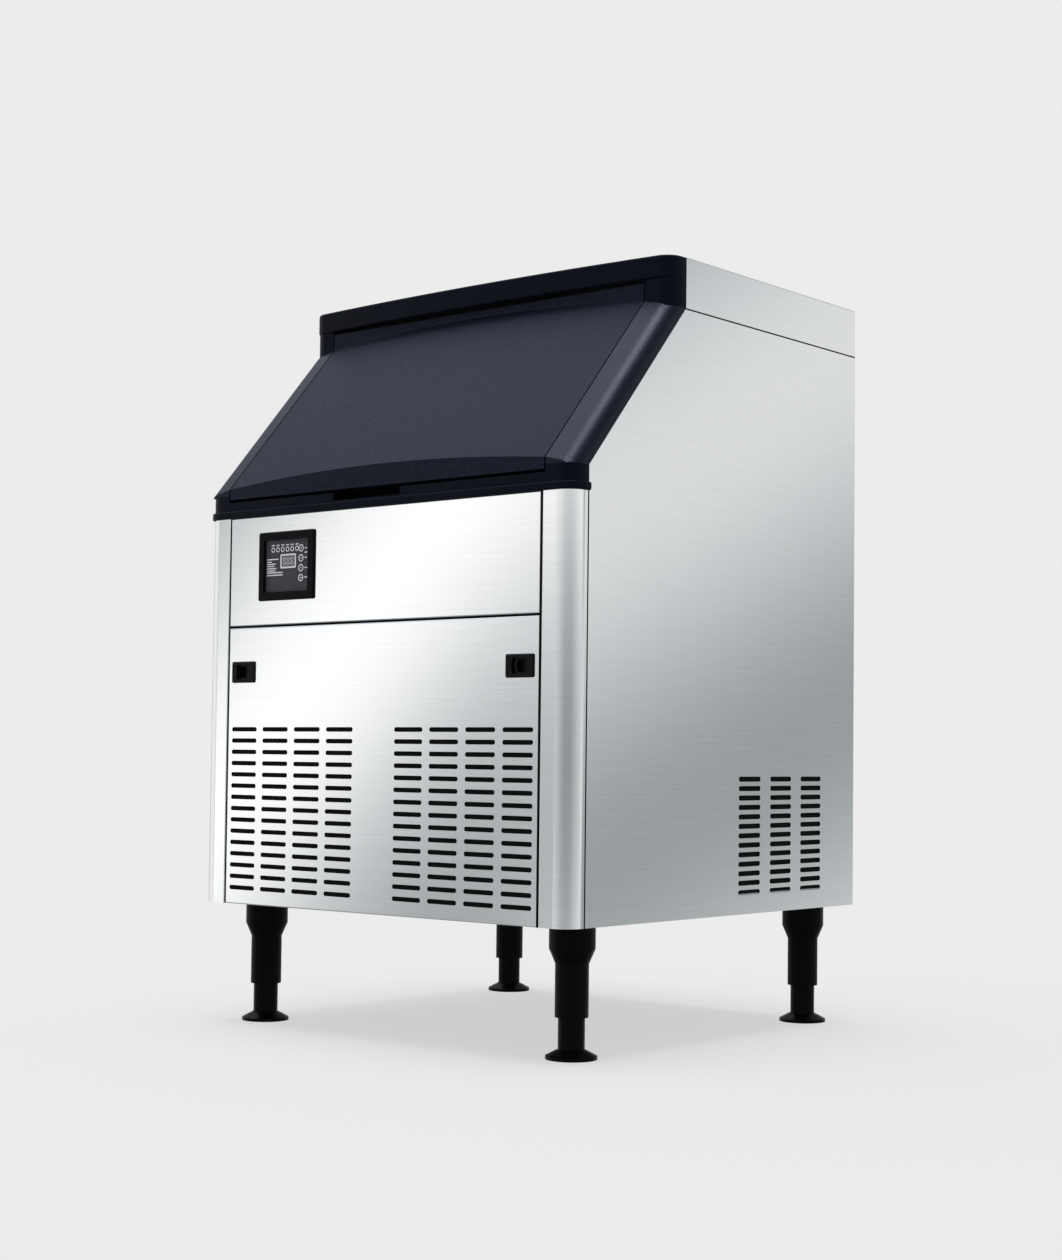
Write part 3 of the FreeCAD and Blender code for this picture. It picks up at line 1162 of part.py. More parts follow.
def fan_shroud():
    """Plate behind the condenser with a collar round the fan and a strut for its motor."""
    skin = box(CONDENSER_X, CONDENSER_END, CONDENSER_Y1, SHROUD_Y, BASE_TOP, CONDENSER_TOP)
    centre = V(FAN_X, CONDENSER_Y1, FAN_Z)
    collar = rod(SHROUD_HOLE_R + SHROUD, centre, AXIS_Y, SHROUD_COLLAR)
    hole = rod(SHROUD_HOLE_R, centre - V(0, PAST, 0), AXIS_Y, SHROUD_COLLAR + 2 * PAST)
    x0 = FAN_X - SHROUD_STRUT / 2
    x1 = FAN_X + SHROUD_STRUT / 2
    low = BASE_TOP + SHROUD_STRUT_EDGE - SHROUD_STRUT_T
    high = CONDENSER_TOP - SHROUD_STRUT_EDGE + SHROUD_STRUT_T
    strut = box(x0, x1, CONDENSER_Y1, STRUT_Y, low, high)
    strut = strut.cut(box(x0 - PAST, x1 + PAST, CONDENSER_Y1 - PAST, STRUT_Y - SHROUD_STRUT_T,
                          low + SHROUD_STRUT_T, high - SHROUD_STRUT_T))
    shaft_hole = rod(SHAFT_HOLE_R, V(FAN_X, STRUT_Y - PAST, FAN_Z), AXIS_Y, 2 * PAST)
    return fused([fused([skin, collar]).cut(hole), strut]).cut(shaft_hole)


def fan_motor():
    """Round motor on the shroud's strut, with its shaft forward."""
    body = rod(MOTOR_R, V(FAN_X, STRUT_Y, FAN_Z), AXIS_Y, MOTOR_LENGTH)
    tip = CONDENSER_Y1 + FAN_FRONT
    shaft = rod(SHAFT_R, V(FAN_X, tip, FAN_Z), AXIS_Y, STRUT_Y - tip + PAST)
    return fused([body, shaft])


def fan_blade():
    """Fan with pitched blades on a bored hub."""
    y0 = CONDENSER_Y1 + FAN_FRONT
    hub = rod(FAN_HUB_R, V(FAN_X, y0, FAN_Z), AXIS_Y, FAN_HUB)
    blades = []
    for i in range(FAN_BLADES):
        blade = box(-FAN_CHORD / 2, FAN_CHORD / 2, -FAN_BLADE / 2, FAN_BLADE / 2,
                    SHAFT_R + FAN_BLADE, FAN_R)
        blade.rotate(V(0, 0, 0), AXIS_Z, FAN_PITCH_DEG)
        blade.rotate(V(0, 0, 0), AXIS_Y, i * 360 / FAN_BLADES)
        blade.translate(V(FAN_X, y0 + FAN_HUB / 2, FAN_Z))
        blades.append(blade)
    tip = rod(FAN_R, V(FAN_X, y0, FAN_Z), AXIS_Y, FAN_HUB)
    bore = rod(SHAFT_R + PIN_FIT, V(FAN_X, y0 - PAST, FAN_Z), AXIS_Y, FAN_HUB + 2 * PAST)
    return fused([hub] + blades).common(tip).cut(bore)


def filter_drier():
    """Upright drier with tapered ends in the liquid line."""
    foot = ZB + DRIER_Z
    top = foot + DRIER_H + 2 * DRIER_CONE
    profile = [(0, foot, 0), (LIQUID_R, foot, 0), (DRIER_R, foot + DRIER_CONE, 0),
               (DRIER_R, top - DRIER_CONE, 0), (LIQUID_R, top, 0), (0, top, 0)]
    return turned(profile, V(DRIER_X, YR - DRIER_Y, 0))


def hot_gas_valve():
    """Solenoid valve in the hot gas line."""
    x = COMPRESSOR_X - STUB_X
    y = COMP_Y - STUB_Y
    z = STUB_TOP + HOT_GAS_RISE
    half = GAS_VALVE / 2
    body = box(x - half, x + half, y - half, y + half, z, z + GAS_VALVE)
    coil = rod(GAS_VALVE_COIL_R, V(x, y, z + half), V(0, -1, 0), half + GAS_VALVE_COIL)
    return fused([body, coil])


def discharge_line():
    """Pipe from the compressor to the condenser, and the hot gas branch through its valve."""
    x = COMPRESSOR_X + STUB_X
    y = COMP_Y - STUB_Y
    top = STUB_TOP + DISCHARGE_RISE
    port = CONDENSER_TOP - FIN_FOOT
    points = [V(x, y, STUB_TOP), V(x, y, top), V(PIPE_X, y, top), V(PIPE_X, PORT_Y, top),
              V(PIPE_X, PORT_Y, port), V(CONDENSER_END, PORT_Y, port)]
    riser = rod(DISCHARGE_R, V(COMPRESSOR_X - STUB_X, y, STUB_TOP), AXIS_Z, HOT_GAS_RISE)
    route, radius = service_routes()["hot_gas"]
    return Part.makeCompound([pipe(points, DISCHARGE_R, PIPE_BEND), riser, pipe(route, radius, PIPE_BEND)])


def liquid_line():
    """Pipe from the condenser to the drier, and on to the freezing plate's coil."""
    z = BASE_TOP + LIQUID_LOW
    cross = YF + LIQUID_CROSS
    drier_y = YR - DRIER_Y
    points = [V(CONDENSER_END, PORT_Y, z), V(PIPE_X, PORT_Y, z), V(PIPE_X, cross, z), V(DRIER_X, cross, z),
              V(DRIER_X, drier_y, z), V(DRIER_X, drier_y, ZB + DRIER_Z)]
    route, radius = service_routes()["liquid"]
    return Part.makeCompound([pipe(points, LIQUID_R, PIPE_BEND), pipe(route, radius, PIPE_BEND)])


def suction_line():
    """Pipe from the freezing plate's coil back to the compressor."""
    route, radius = service_routes()["suction"]
    return pipe(route, radius, PIPE_BEND)


def electrical_box():
    """Sheet box for the relays and terminals, open at the rear."""
    x0 = EBOX_SIDE_GAP - XI
    y0 = YF + EBOX_INSET
    case = box(x0, x0 + EBOX_X, y0, y0 + EBOX_Y, BASE_TOP, BASE_TOP + EBOX_Z)
    wall = EBOX_WALL
    return case.cut(box(x0 + wall, x0 + EBOX_X - wall, y0 + wall, y0 + EBOX_Y + PAST,
                        BASE_TOP + wall, BASE_TOP + EBOX_Z - wall))


def control_bezel():
    """Bevelled rim round the control panel, with a sleeve through the front panel."""
    w = BEZEL_W / 2
    h = BEZEL_H / 2
    edge_line = rect(BEZEL_X - w, BEZEL_X + w, BEZEL_ZC - h, BEZEL_ZC + h, BEZEL_ROUND)
    rim = front_prism(edge_line, YF - BEZEL_OUT, YF)
    rim = rim.makeChamfer(BEZEL_BEVEL, [edge for edge in rim.Edges if on_front(edge, YF - BEZEL_OUT)])
    w_out = w - BEZEL_LAP - FIT
    h_out = h - BEZEL_LAP - FIT
    sleeve = front_prism(rect(BEZEL_X - w_out, BEZEL_X + w_out, BEZEL_ZC - h_out, BEZEL_ZC + h_out),
                         YF - BEZEL_OUT / 2, YF + BEZEL_BACK)
    w_in = w_out - BEZEL_SLEEVE
    h_in = h_out - BEZEL_SLEEVE
    hollow = front_prism(rect(BEZEL_X - w_in, BEZEL_X + w_in, BEZEL_ZC - h_in, BEZEL_ZC + h_in),
                         FACE_Y, YF + BEZEL_BACK + PAST)
    w_win = w - BEZEL_RIM
    h_win = h - BEZEL_RIM
    window = front_prism(rect(BEZEL_X - w_win, BEZEL_X + w_win, BEZEL_ZC - h_win, BEZEL_ZC + h_win),
                         YF - BEZEL_OUT - PAST, YF + PAST)
    return fused([rim, sleeve]).cut(hollow).cut(window)


def inside_sleeve(y0, y1):
    """Plate that drops into the bezel's sleeve."""
    w = BEZEL_W / 2 - BEZEL_LAP - BEZEL_SLEEVE - 2 * FIT
    h = BEZEL_H / 2 - BEZEL_LAP - BEZEL_SLEEVE - 2 * FIT
    return front_prism(rect(BEZEL_X - w, BEZEL_X + w, BEZEL_ZC - h, BEZEL_ZC + h), y0, y1)


def lamp_places():
    """Indicator lamps, in a row on the face."""
    return [V(BEZEL_X + LAMP_X + i * LAMP_PITCH, FACE_Y, BEZEL_ZC + LAMP_Z) for i in range(LAMPS)]


def button_places():
    """Push buttons, in a column on the face."""
    return [V(BEZEL_X + BUTTON_X, FACE_Y, BEZEL_ZC + BUTTON_Z - i * BUTTON_PITCH) for i in range(BUTTONS)]


def display_outline(margin):
    """Outline of the display, grown by margin."""
    w = DISPLAY_W / 2 + margin
    h = DISPLAY_H / 2 + margin
    x = BEZEL_X + DISPLAY_X
    z = BEZEL_ZC + DISPLAY_Z
    return rect(x - w, x + w, z - h, z + h)


def control_face():
    """Face plate with openings for the display, lamps and buttons."""
    tools = [front_prism(display_outline(FIT), FACE_Y - PAST, FACE_Y + FACE + PAST)]
    for place in lamp_places():
        tools.append(rod(LAMP_R + FIT, place - V(0, PAST, 0), AXIS_Y, FACE + 2 * PAST))
    for place in button_places():
        tools.append(rod(BUTTON_R + FIT, place - V(0, PAST, 0), AXIS_Y, FACE + 2 * PAST))
    return inside_sleeve(FACE_Y, FACE_Y + FACE).cut(Part.makeCompound(tools))


def control_board():
    """Circuit board behind the face."""
    return inside_sleeve(BOARD_Y, BOARD_Y + BOARD)


def display_module():
    """Digit display and indicator lamps, standing on the board."""
    pieces = [front_prism(display_outline(0), FACE_Y, BOARD_Y)]
    pieces += [rod(LAMP_R, place, AXIS_Y, BOARD_BACK) for place in lamp_places()]
    return Part.makeCompound(pieces)


def push_button(place):
    """Push button with a flange behind the face."""
    cap = rod(BUTTON_R, place - V(0, BUTTON_OUT, 0), AXIS_Y, BUTTON_OUT + FACE + FIT + BUTTON_FLANGE)
    flange = rod(BUTTON_FLANGE_R, place + V(0, FACE + FIT, 0), AXIS_Y, BUTTON_FLANGE)
    return fused([cap, flange])


def latch_pocket():
    """Ends of the right latch's pocket along X, inner end first."""
    outer = LATCH_X + LATCH_W / 2 - LATCH_MARGIN
    slide = LATCH_LIP + LATCH_DISH_R + LATCH_DISH_WALL
    return outer - slide - LATCH_TRAVEL - 2 * FIT, outer


def latch_eye(radius, fit, y0, y1):
    """Block as high as the right latch's pocket, round at its inner end about the dish's middle."""
    outer = latch_pocket()[1] - fit
    middle = latch_pocket()[1] - FIT - LATCH_DISH_WALL
    half = LATCH_POCKET_H / 2 - fit
    length = y1 - y0
    end = rod(radius, V(middle, y0, LATCH_ZC), AXIS_Y, length)
    end = end.common(box(middle - radius, middle, y0, y1, LATCH_ZC - half, LATCH_ZC + half))
    return fused([end, box(middle, outer, y0, y1, LATCH_ZC - half, LATCH_ZC + half)])


def latch_housing():
    """Right latch housing: plate on the panel with an eye for the thumb, box behind it that guides the slide."""
    w = LATCH_W / 2
    h = LATCH_H / 2
    edge_line = rect(LATCH_X - w, LATCH_X + w, LATCH_ZC - h, LATCH_ZC + h, LATCH_ROUND)
    rim = front_prism(edge_line, YF - LATCH_OUT, YF)
    rim = rim.makeChamfer(LATCH_BEVEL, [edge for edge in rim.Edges if on_front(edge, YF - LATCH_OUT)])
    w_in = w - LATCH_RIM - FIT
    h_in = h - LATCH_RIM - FIT
    case = box(LATCH_X - w_in, LATCH_X + w_in, YF - FIT, YF + LATCH_DEPTH, LATCH_ZC - h_in, LATCH_ZC + h_in)
    inner, outer = latch_pocket()
    half = LATCH_POCKET_H / 2
    floor = YF + LATCH_DEPTH - LATCH_BACK
    pocket = box(inner, outer, YF, floor, LATCH_ZC - half, LATCH_ZC + half)
    eye = latch_eye(LATCH_DISH_R + LATCH_LIP + LATCH_GAP, 0, YF - LATCH_OUT - PAST, YF + FIT)
    bolt_half = BOLT_H / 2 + FIT
    gate = box(outer - PAST, LATCH_X + w, floor - BOLT_T - 2 * FIT, floor,
               LATCH_ZC - bolt_half, LATCH_ZC + bolt_half)
    return fused([rim, case]).cut(pocket).cut(eye).cut(gate)


def latch_slide():
    """Right latch slide: dished thumb piece with a bolt that lies behind the column's ledge."""
    outer = latch_pocket()[1] - FIT
    floor = YF + LATCH_DEPTH - LATCH_BACK - FIT
    thumb = latch_eye(LATCH_DISH_R + LATCH_LIP, FIT, YF + FIT, floor)
    middle = outer - LATCH_DISH_WALL
    dish = rod(LATCH_DISH_R, V(middle, YF - PAST, LATCH_ZC), AXIS_Y, PAST + LATCH_DISH_DEPTH)
    inset = LATCH_POCKET_H / 2 - FIT - LATCH_DISH_WALL
    window = box(middle - LATCH_DISH_R, middle, YF - PAST, YF + LATCH_DISH_DEPTH,
                 LATCH_ZC - inset, LATCH_ZC + inset)
    tip = X_SEAM - LANDING + BOLT_REACH
    bolt = box(outer - LATCH_DISH_WALL, tip, floor - BOLT_T, floor,
               LATCH_ZC - BOLT_H / 2, LATCH_ZC + BOLT_H / 2)
    return fused([thumb.cut(dish.common(window)), bolt])


def leg_sleeves():
    """Four collared sleeves under the base pan, each with a stud through it."""
    sleeves = []
    bore = FOOT_R + FIT
    cone_top = ZB - COLLAR_H
    cone_low = cone_top - CONE_H
    top = BASE_TOP + LEG_STUD
    profile = [(0, FOOT_TOP, 0), (bore, FOOT_TOP, 0), (bore, SLEEVE_BOTTOM, 0),
               (SLEEVE_R, SLEEVE_BOTTOM, 0), (SLEEVE_R, cone_low, 0), (COLLAR_R, cone_top, 0),
               (COLLAR_R, ZB, 0), (LEG_STUD_R, ZB, 0), (LEG_STUD_R, top, 0), (0, top, 0)]
    for place in leg_places().values():
        sleeves.append(turned(profile, place))
    return Part.makeCompound(sleeves)


def leg_foot(place):
    """Screw-in foot: stem in the sleeve and a disc on the floor."""
    cone_top = FOOT_DISC + FOOT_CONE
    profile = [(0, 0, 0), (FOOT_DISC_R, 0, 0), (FOOT_DISC_R, FOOT_DISC, 0), (FOOT_NECK_R, cone_top, 0),
               (FOOT_R, cone_top, 0), (FOOT_R, FOOT_TOP, 0), (0, FOOT_TOP, 0)]
    return turned(profile, place)


def hexagon(radius, height, place):
    """Hexagon bar standing on a point."""
    turns = [math.radians(60 * i) for i in range(6)]
    bar = plan_prism([(radius * math.cos(turn), radius * math.sin(turn), 0) for turn in turns], 0, height)
    bar.translate(place)
    return bar


def cabinet_fasteners():
    """Leg nuts, compressor studs with their nuts, and the rear panel's screws."""
    pieces = []
    for place in leg_places().values():
        start = place + V(0, 0, BASE_TOP)
        hole = rod(LEG_STUD_R + PIN_FIT, start - V(0, 0, PAST), AXIS_Z, LEG_NUT + 2 * PAST)
        pieces.append(hexagon(LEG_NUT_R, LEG_NUT, start).cut(hole))
    for place in compressor_feet():
        stud = rod(STUD_R, place + V(0, 0, BASE_TOP), AXIS_Z, COMP_Z - BASE_TOP + STUD_OVER)
        pieces.append(fused([stud, hexagon(NUT_R, NUT_H, place + V(0, 0, COMP_Z))]))
    for place in screw_places():
        shank = rod(SCREW_R, place, V(0, -1, 0), SCREW_LENGTH)
        head = rod(SCREW_HEAD_R, place, AXIS_Y, SCREW_HEAD)
        pieces.append(fused([shank, head]))
    return Part.makeCompound(pieces)


def all_pieces():
    """Every piece of the machine by name."""
    pieces = {
        "base_pan": base_pan(),
        "right_side_panel": side_panel(),
        "left_side_panel": mirrored(side_panel()),
        "rear_panel": rear_panel(),
        "top_cover": top_cover(),
        "right_front_column": front_column(),
        "left_front_column": mirrored(front_column()),
        "upper_front_panel": upper_front_panel(),
        "lower_front_panel": lower_front_panel(),
        "frame_sill": frame_sill(),
        "frame_right_rail": frame_rail(),
        "frame_left_rail": mirrored(frame_rail()),
        "frame_header": frame_header(),
        "bin_door": bin_door(),
        "bin_door_inner_panel": bin_door_inner_panel(),
        "bin_door_gasket": bin_door_gasket(),
        "bin_liner": bin_liner(),
        "bin_insulation": bin_insulation(),
        "top_insulation": top_insulation(),
        "evaporator_plate": evaporator_plate(),
        "evaporator_coil": evaporator_coil(),
        "evaporator_bracket": evaporator_bracket(),
        "water_curtain": water_curtain(),
        "water_distributor": water_distributor(),
        "water_trough": water_trough(),
        "water_pump": water_pump(),
        "pump_hose": pump_hose(),
        "water_inlet_valve": water_inlet_valve(),
        "fill_tube": fill_tube(),
        "bin_drain": bin_drain(),
        "cord_gland": cord_gland(),
        "compressor": compressor(),
        "compressor_mounts": compressor_mounts(),
        "condenser": condenser(),
        "fan_shroud": fan_shroud(),
        "fan_motor": fan_motor(),
        "fan_blade": fan_blade(),
        "filter_drier": filter_drier(),
        "hot_gas_valve": hot_gas_valve(),
        "discharge_line": discharge_line(),
        "liquid_line": liquid_line(),
        "suction_line": suction_line(),
        "electrical_box": electrical_box(),
        "control_bezel": control_bezel(),
        "control_face": control_face(),
        "control_board": control_board(),
        "display_module": display_module(),
        "latch_housings": Part.makeCompound([latch_housing(), mirrored(latch_housing())]),
        "right_latch_slide": latch_slide(),
        "left_latch_slide": mirrored(latch_slide()),
        "leg_sleeves": leg_sleeves(),
        "cabinet_fasteners": cabinet_fasteners(),
    }
    for i, place in enumerate(button_places()):
        pieces["control_button_" + str(i + 1)] = push_button(place)
    for name, place in leg_places().items():
        pieces[name + "_foot"] = leg_foot(place)
    return pieces


os.makedirs("parts", exist_ok=True)
for name, shape in all_pieces().items():
    print(name, len(shape.Solids), round(shape.Volume), shape.isValid())
    shape.exportStep("parts/" + name + ".step")
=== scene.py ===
"""Looks of an undercounter cube ice machine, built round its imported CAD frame."""
import logging
import math
from dataclasses import dataclass
from enum import Enum
from typing import Any, Optional, Sequence, Union

import bmesh
import bpy
from mathutils import Matrix, Vector


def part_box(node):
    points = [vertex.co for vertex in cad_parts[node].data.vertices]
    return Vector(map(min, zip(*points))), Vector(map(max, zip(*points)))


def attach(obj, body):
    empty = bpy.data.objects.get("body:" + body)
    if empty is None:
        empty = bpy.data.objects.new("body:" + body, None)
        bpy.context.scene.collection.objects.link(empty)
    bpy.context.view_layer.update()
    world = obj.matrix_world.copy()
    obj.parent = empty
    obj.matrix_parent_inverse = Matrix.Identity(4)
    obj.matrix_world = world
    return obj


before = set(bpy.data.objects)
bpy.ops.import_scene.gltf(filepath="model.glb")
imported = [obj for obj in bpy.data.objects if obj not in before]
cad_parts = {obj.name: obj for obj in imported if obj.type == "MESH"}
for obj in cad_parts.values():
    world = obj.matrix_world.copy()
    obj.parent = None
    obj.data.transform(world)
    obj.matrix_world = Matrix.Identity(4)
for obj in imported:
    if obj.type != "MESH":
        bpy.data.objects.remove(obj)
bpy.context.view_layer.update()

LOG = logging.getLogger("ice_machine")

Colour = tuple[float, float, float]
Corner = tuple[float, float]
Box = tuple[Vector, Vector]
# Start and end of a range, then the result at each.
Ramp = tuple[float, float, float, float]
Pieces = list[bpy.types.Object]
Socket = bpy.types.NodeSocket
Number = Union[float, Socket]
Tone = Union[Colour, Socket]

WHITE: Colour = (1.0, 1.0, 1.0)
# The sRGB curve: its full value, the end and slope of its straight foot, the lift and power of the rest.
SCREEN_FULL = 255.0
FOOT_END = 0.04045
FOOT_SLOPE = 12.92
CURVE_LIFT = 0.055
CURVE_POWER = 2.4
FULL_TURN = 360.0
QUARTER_TURN = 90.0
CIRCLE_STEPS = 36
CORNER_STEPS = 20
TRIANGLE_STEPS = 3
EDGE_STEPS = 3
ROUND_PROFILE = 0.5


def linear(value: float) -> float:
    """Linear value of an sRGB screen value.

    Args:
        value: Screen value between 0 and 255.

    Returns:
        The linear value between 0 and 1.
    """
    share = value / SCREEN_FULL
    if share <= FOOT_END:
        return share / FOOT_SLOPE
    return ((share + CURVE_LIFT) / (1.0 + CURVE_LIFT)) ** CURVE_POWER


def srgb(red: float, green: float, blue: float) -> Colour:
    """Linear colour of sRGB screen values between 0 and 255."""
    return linear(red), linear(green), linear(blue)


class Body(str, Enum):
    """CAD bodies that new pieces ride on, apart from the buttons."""

    CABINET = "cabinet"
    DOOR = "bin_door"


class Side(Enum):
    """Left or right side of the machine, with the sign of X there."""

    LEFT = -1
    RIGHT = 1

    @property
    def label(self) -> str:
        """Word for the side in the names of pieces."""
        return self.name.lower()

    def outer(self, box: Box) -> float:
        """Place along X of a box's face on this side."""
        return box[0].x if self is Side.LEFT else box[1].x

    def inwards(self, face: float, first: float, second: float) -> list[float]:
        """Two places along X, so far inwards from a face on this side, the lower one first."""
        return sorted((face - self.value * first, face - self.value * second))


class Symbol(Enum):
    """Sign on a button, with the button's number from the top."""

    POWER = 1
    UP = 2
    DOWN = 3
    DOT = 4


class Graph:
    """Adds nodes to a shader tree and wires them."""

    MIX_SHARE = 0
    MIX_FIRST = 6
    MIX_SECOND = 7
    MIX_RESULT = 2

    def __init__(self, tree: bpy.types.NodeTree) -> None:
        """Empties the tree that takes the nodes."""
        self.tree = tree
        tree.nodes.clear()

    def add(self, kind: str, inputs: Optional[dict[Union[int, str], Any]] = None,
            **settings: Any) -> bpy.types.Node:
        """Adds a node.

        Args:
            kind: Node type.
            inputs: Socket name or number to a constant or to the socket that feeds it.
            **settings: Attributes of the node.

        Returns:
            The node.
        """
        node = self.tree.nodes.new(kind)
        for name, value in settings.items():
            setattr(node, name, value)
        for key, value in (inputs or {}).items():
            if isinstance(value, Socket):
                self.tree.links.new(value, node.inputs[key])
            else:
                node.inputs[key].default_value = value
        return node

    def output(self, kind: str, shader: bpy.types.Node) -> None:
        """Adds the tree's output and wires a shader to it."""
        self.add(kind, {0: shader.outputs[0]})

    def math(self, operation: str, first: Number, second: Number = 0.0, third: Number = 0.0) -> Socket:
        """Result of a math operation on up to three numbers."""
        node = self.add("ShaderNodeMath", {0: first, 1: second, 2: third}, operation=operation)
        return node.outputs[0]

    def plus(self, first: Number, second: Number) -> Socket:
        """Sum of two numbers."""
        return self.math("ADD", first, second)

    def times(self, first: Number, second: Number) -> Socket:
        """Product of two numbers."""
        return self.math("MULTIPLY", first, second)

    def line(self, value: Number, slope: Number, start: Number) -> Socket:
        """A number times a slope, with a start added."""
        return self.math("MULTIPLY_ADD", value, slope, start)

    def lay(self, base: Number, mask: Number, value: Number) -> Socket:
        """A number laid over a base as far as its mask goes."""
        return self.line(mask, self.math("SUBTRACT", value, base), base)

    def spread(self, value: Number, low: float, high: float, to_low: float, to_high: float) -> Socket:
        """Maps a range to another one with smooth ends.

        Args:
            value: Number to map.
            low: Start of the range.
            high: End of the range.
            to_low: Result at the start.
            to_high: Result at the end.

        Returns:
            The result socket.
        """
        node = self.add("ShaderNodeMapRange", {0: value, 1: low, 2: high, 3: to_low, 4: to_high},
                        interpolation_type="SMOOTHSTEP")
        return node.outputs[0]

    @staticmethod
    def tone(colour: Tone) -> Any:
        """A colour with its alpha, or a socket as it is."""
        return colour if isinstance(colour, Socket) else (*colour, 1.0)

    def blend(self, share: Number, first: Tone, second: Tone) -> Socket:
        """Mixes two colours.

        Args:
            share: Share of the second one.
            first: First colour.
            second: Second colour.

        Returns:
            The colour socket.
        """
        tones = {self.MIX_FIRST: self.tone(first), self.MIX_SECOND: self.tone(second)}
        return self.add("ShaderNodeMix", {self.MIX_SHARE: share, **tones},
                        data_type="RGBA").outputs[self.MIX_RESULT]


@dataclass(frozen=True)
class Grain:
    """Noise that varies a finish, in cells per metre along each axis."""

    scale: tuple[float, float, float]
    detail: float
    rough: float = 0.55
    low: float = 0.3
    high: float = 0.7

    @classmethod
    def even(cls, cells: float, *detail: float) -> "Grain":
        """Noise with cells of one size along all axes."""
        return cls((cells, cells, cells), *detail)

    def build(self, graph: Graph) -> Socket:
        """Adds the noise.

        Args:
            graph: Graph of the material.

        Returns:
            Socket with values about one half.
        """
        place = graph.add("ShaderNodeTexCoord").outputs["Object"]
        scaled = graph.add("ShaderNodeMapping", {"Vector": place, "Scale": self.scale})
        noise = graph.add("ShaderNodeTexNoise", {"Vector": scaled.outputs[0], "Scale": 1.0,
                                                 "Detail": self.detail, "Roughness": self.rough})
        return noise.outputs[0]


@dataclass(frozen=True)
class Finish:
    """Surface whose shade, gloss and relief follow one noise."""

    name: str
    slot: str
    dark: Colour
    light: Colour
    gloss: tuple[float, float]
    grain: Grain
    metal: float = 0.0
    relief: float = 0.0
    relief_depth: float = 0.0002
    coat: float = 0.0
    coat_gloss: float = 0.08
    specular: float = 0.5
    sheen: Colour = WHITE

    @property
    def label(self) -> str:
        """Name of the material, apart from the names of the CAD materials."""
        return f"look_{self.name}"

    def build(self) -> bpy.types.Material:
        """Makes the material.

        Returns:
            The material.
        """
        material = bpy.data.materials.new(self.label)
        material.use_nodes = True
        graph = Graph(material.node_tree)
        noise = self.grain.build(graph)
        span = (self.grain.low, self.grain.high)
        shader = graph.add("ShaderNodeBsdfPrincipled", {
            "Base Color": graph.blend(graph.spread(noise, *span, 0.0, 1.0), self.dark, self.light),
            "Roughness": graph.spread(noise, *span, *self.gloss),
            "Metallic": self.metal,
            "Coat Weight": self.coat,
            "Coat Roughness": self.coat_gloss,
            "Specular IOR Level": self.specular,
            "Specular Tint": graph.tone(self.sheen)})
        if self.relief > 0:
            bump = graph.add("ShaderNodeBump", {"Height": noise, "Strength": self.relief,
                                                "Distance": self.relief_depth})
            graph.tree.links.new(bump.outputs[0], shader.inputs["Normal"])
        graph.output("ShaderNodeOutputMaterial", shader)
        return material


STEEL_SHADES = (srgb(236, 237, 238), srgb(240, 241, 242))
STEEL_GLOSS = (0.138, 0.143)
BLUE_SHEEN: Colour = (0.54, 0.64, 1.0)


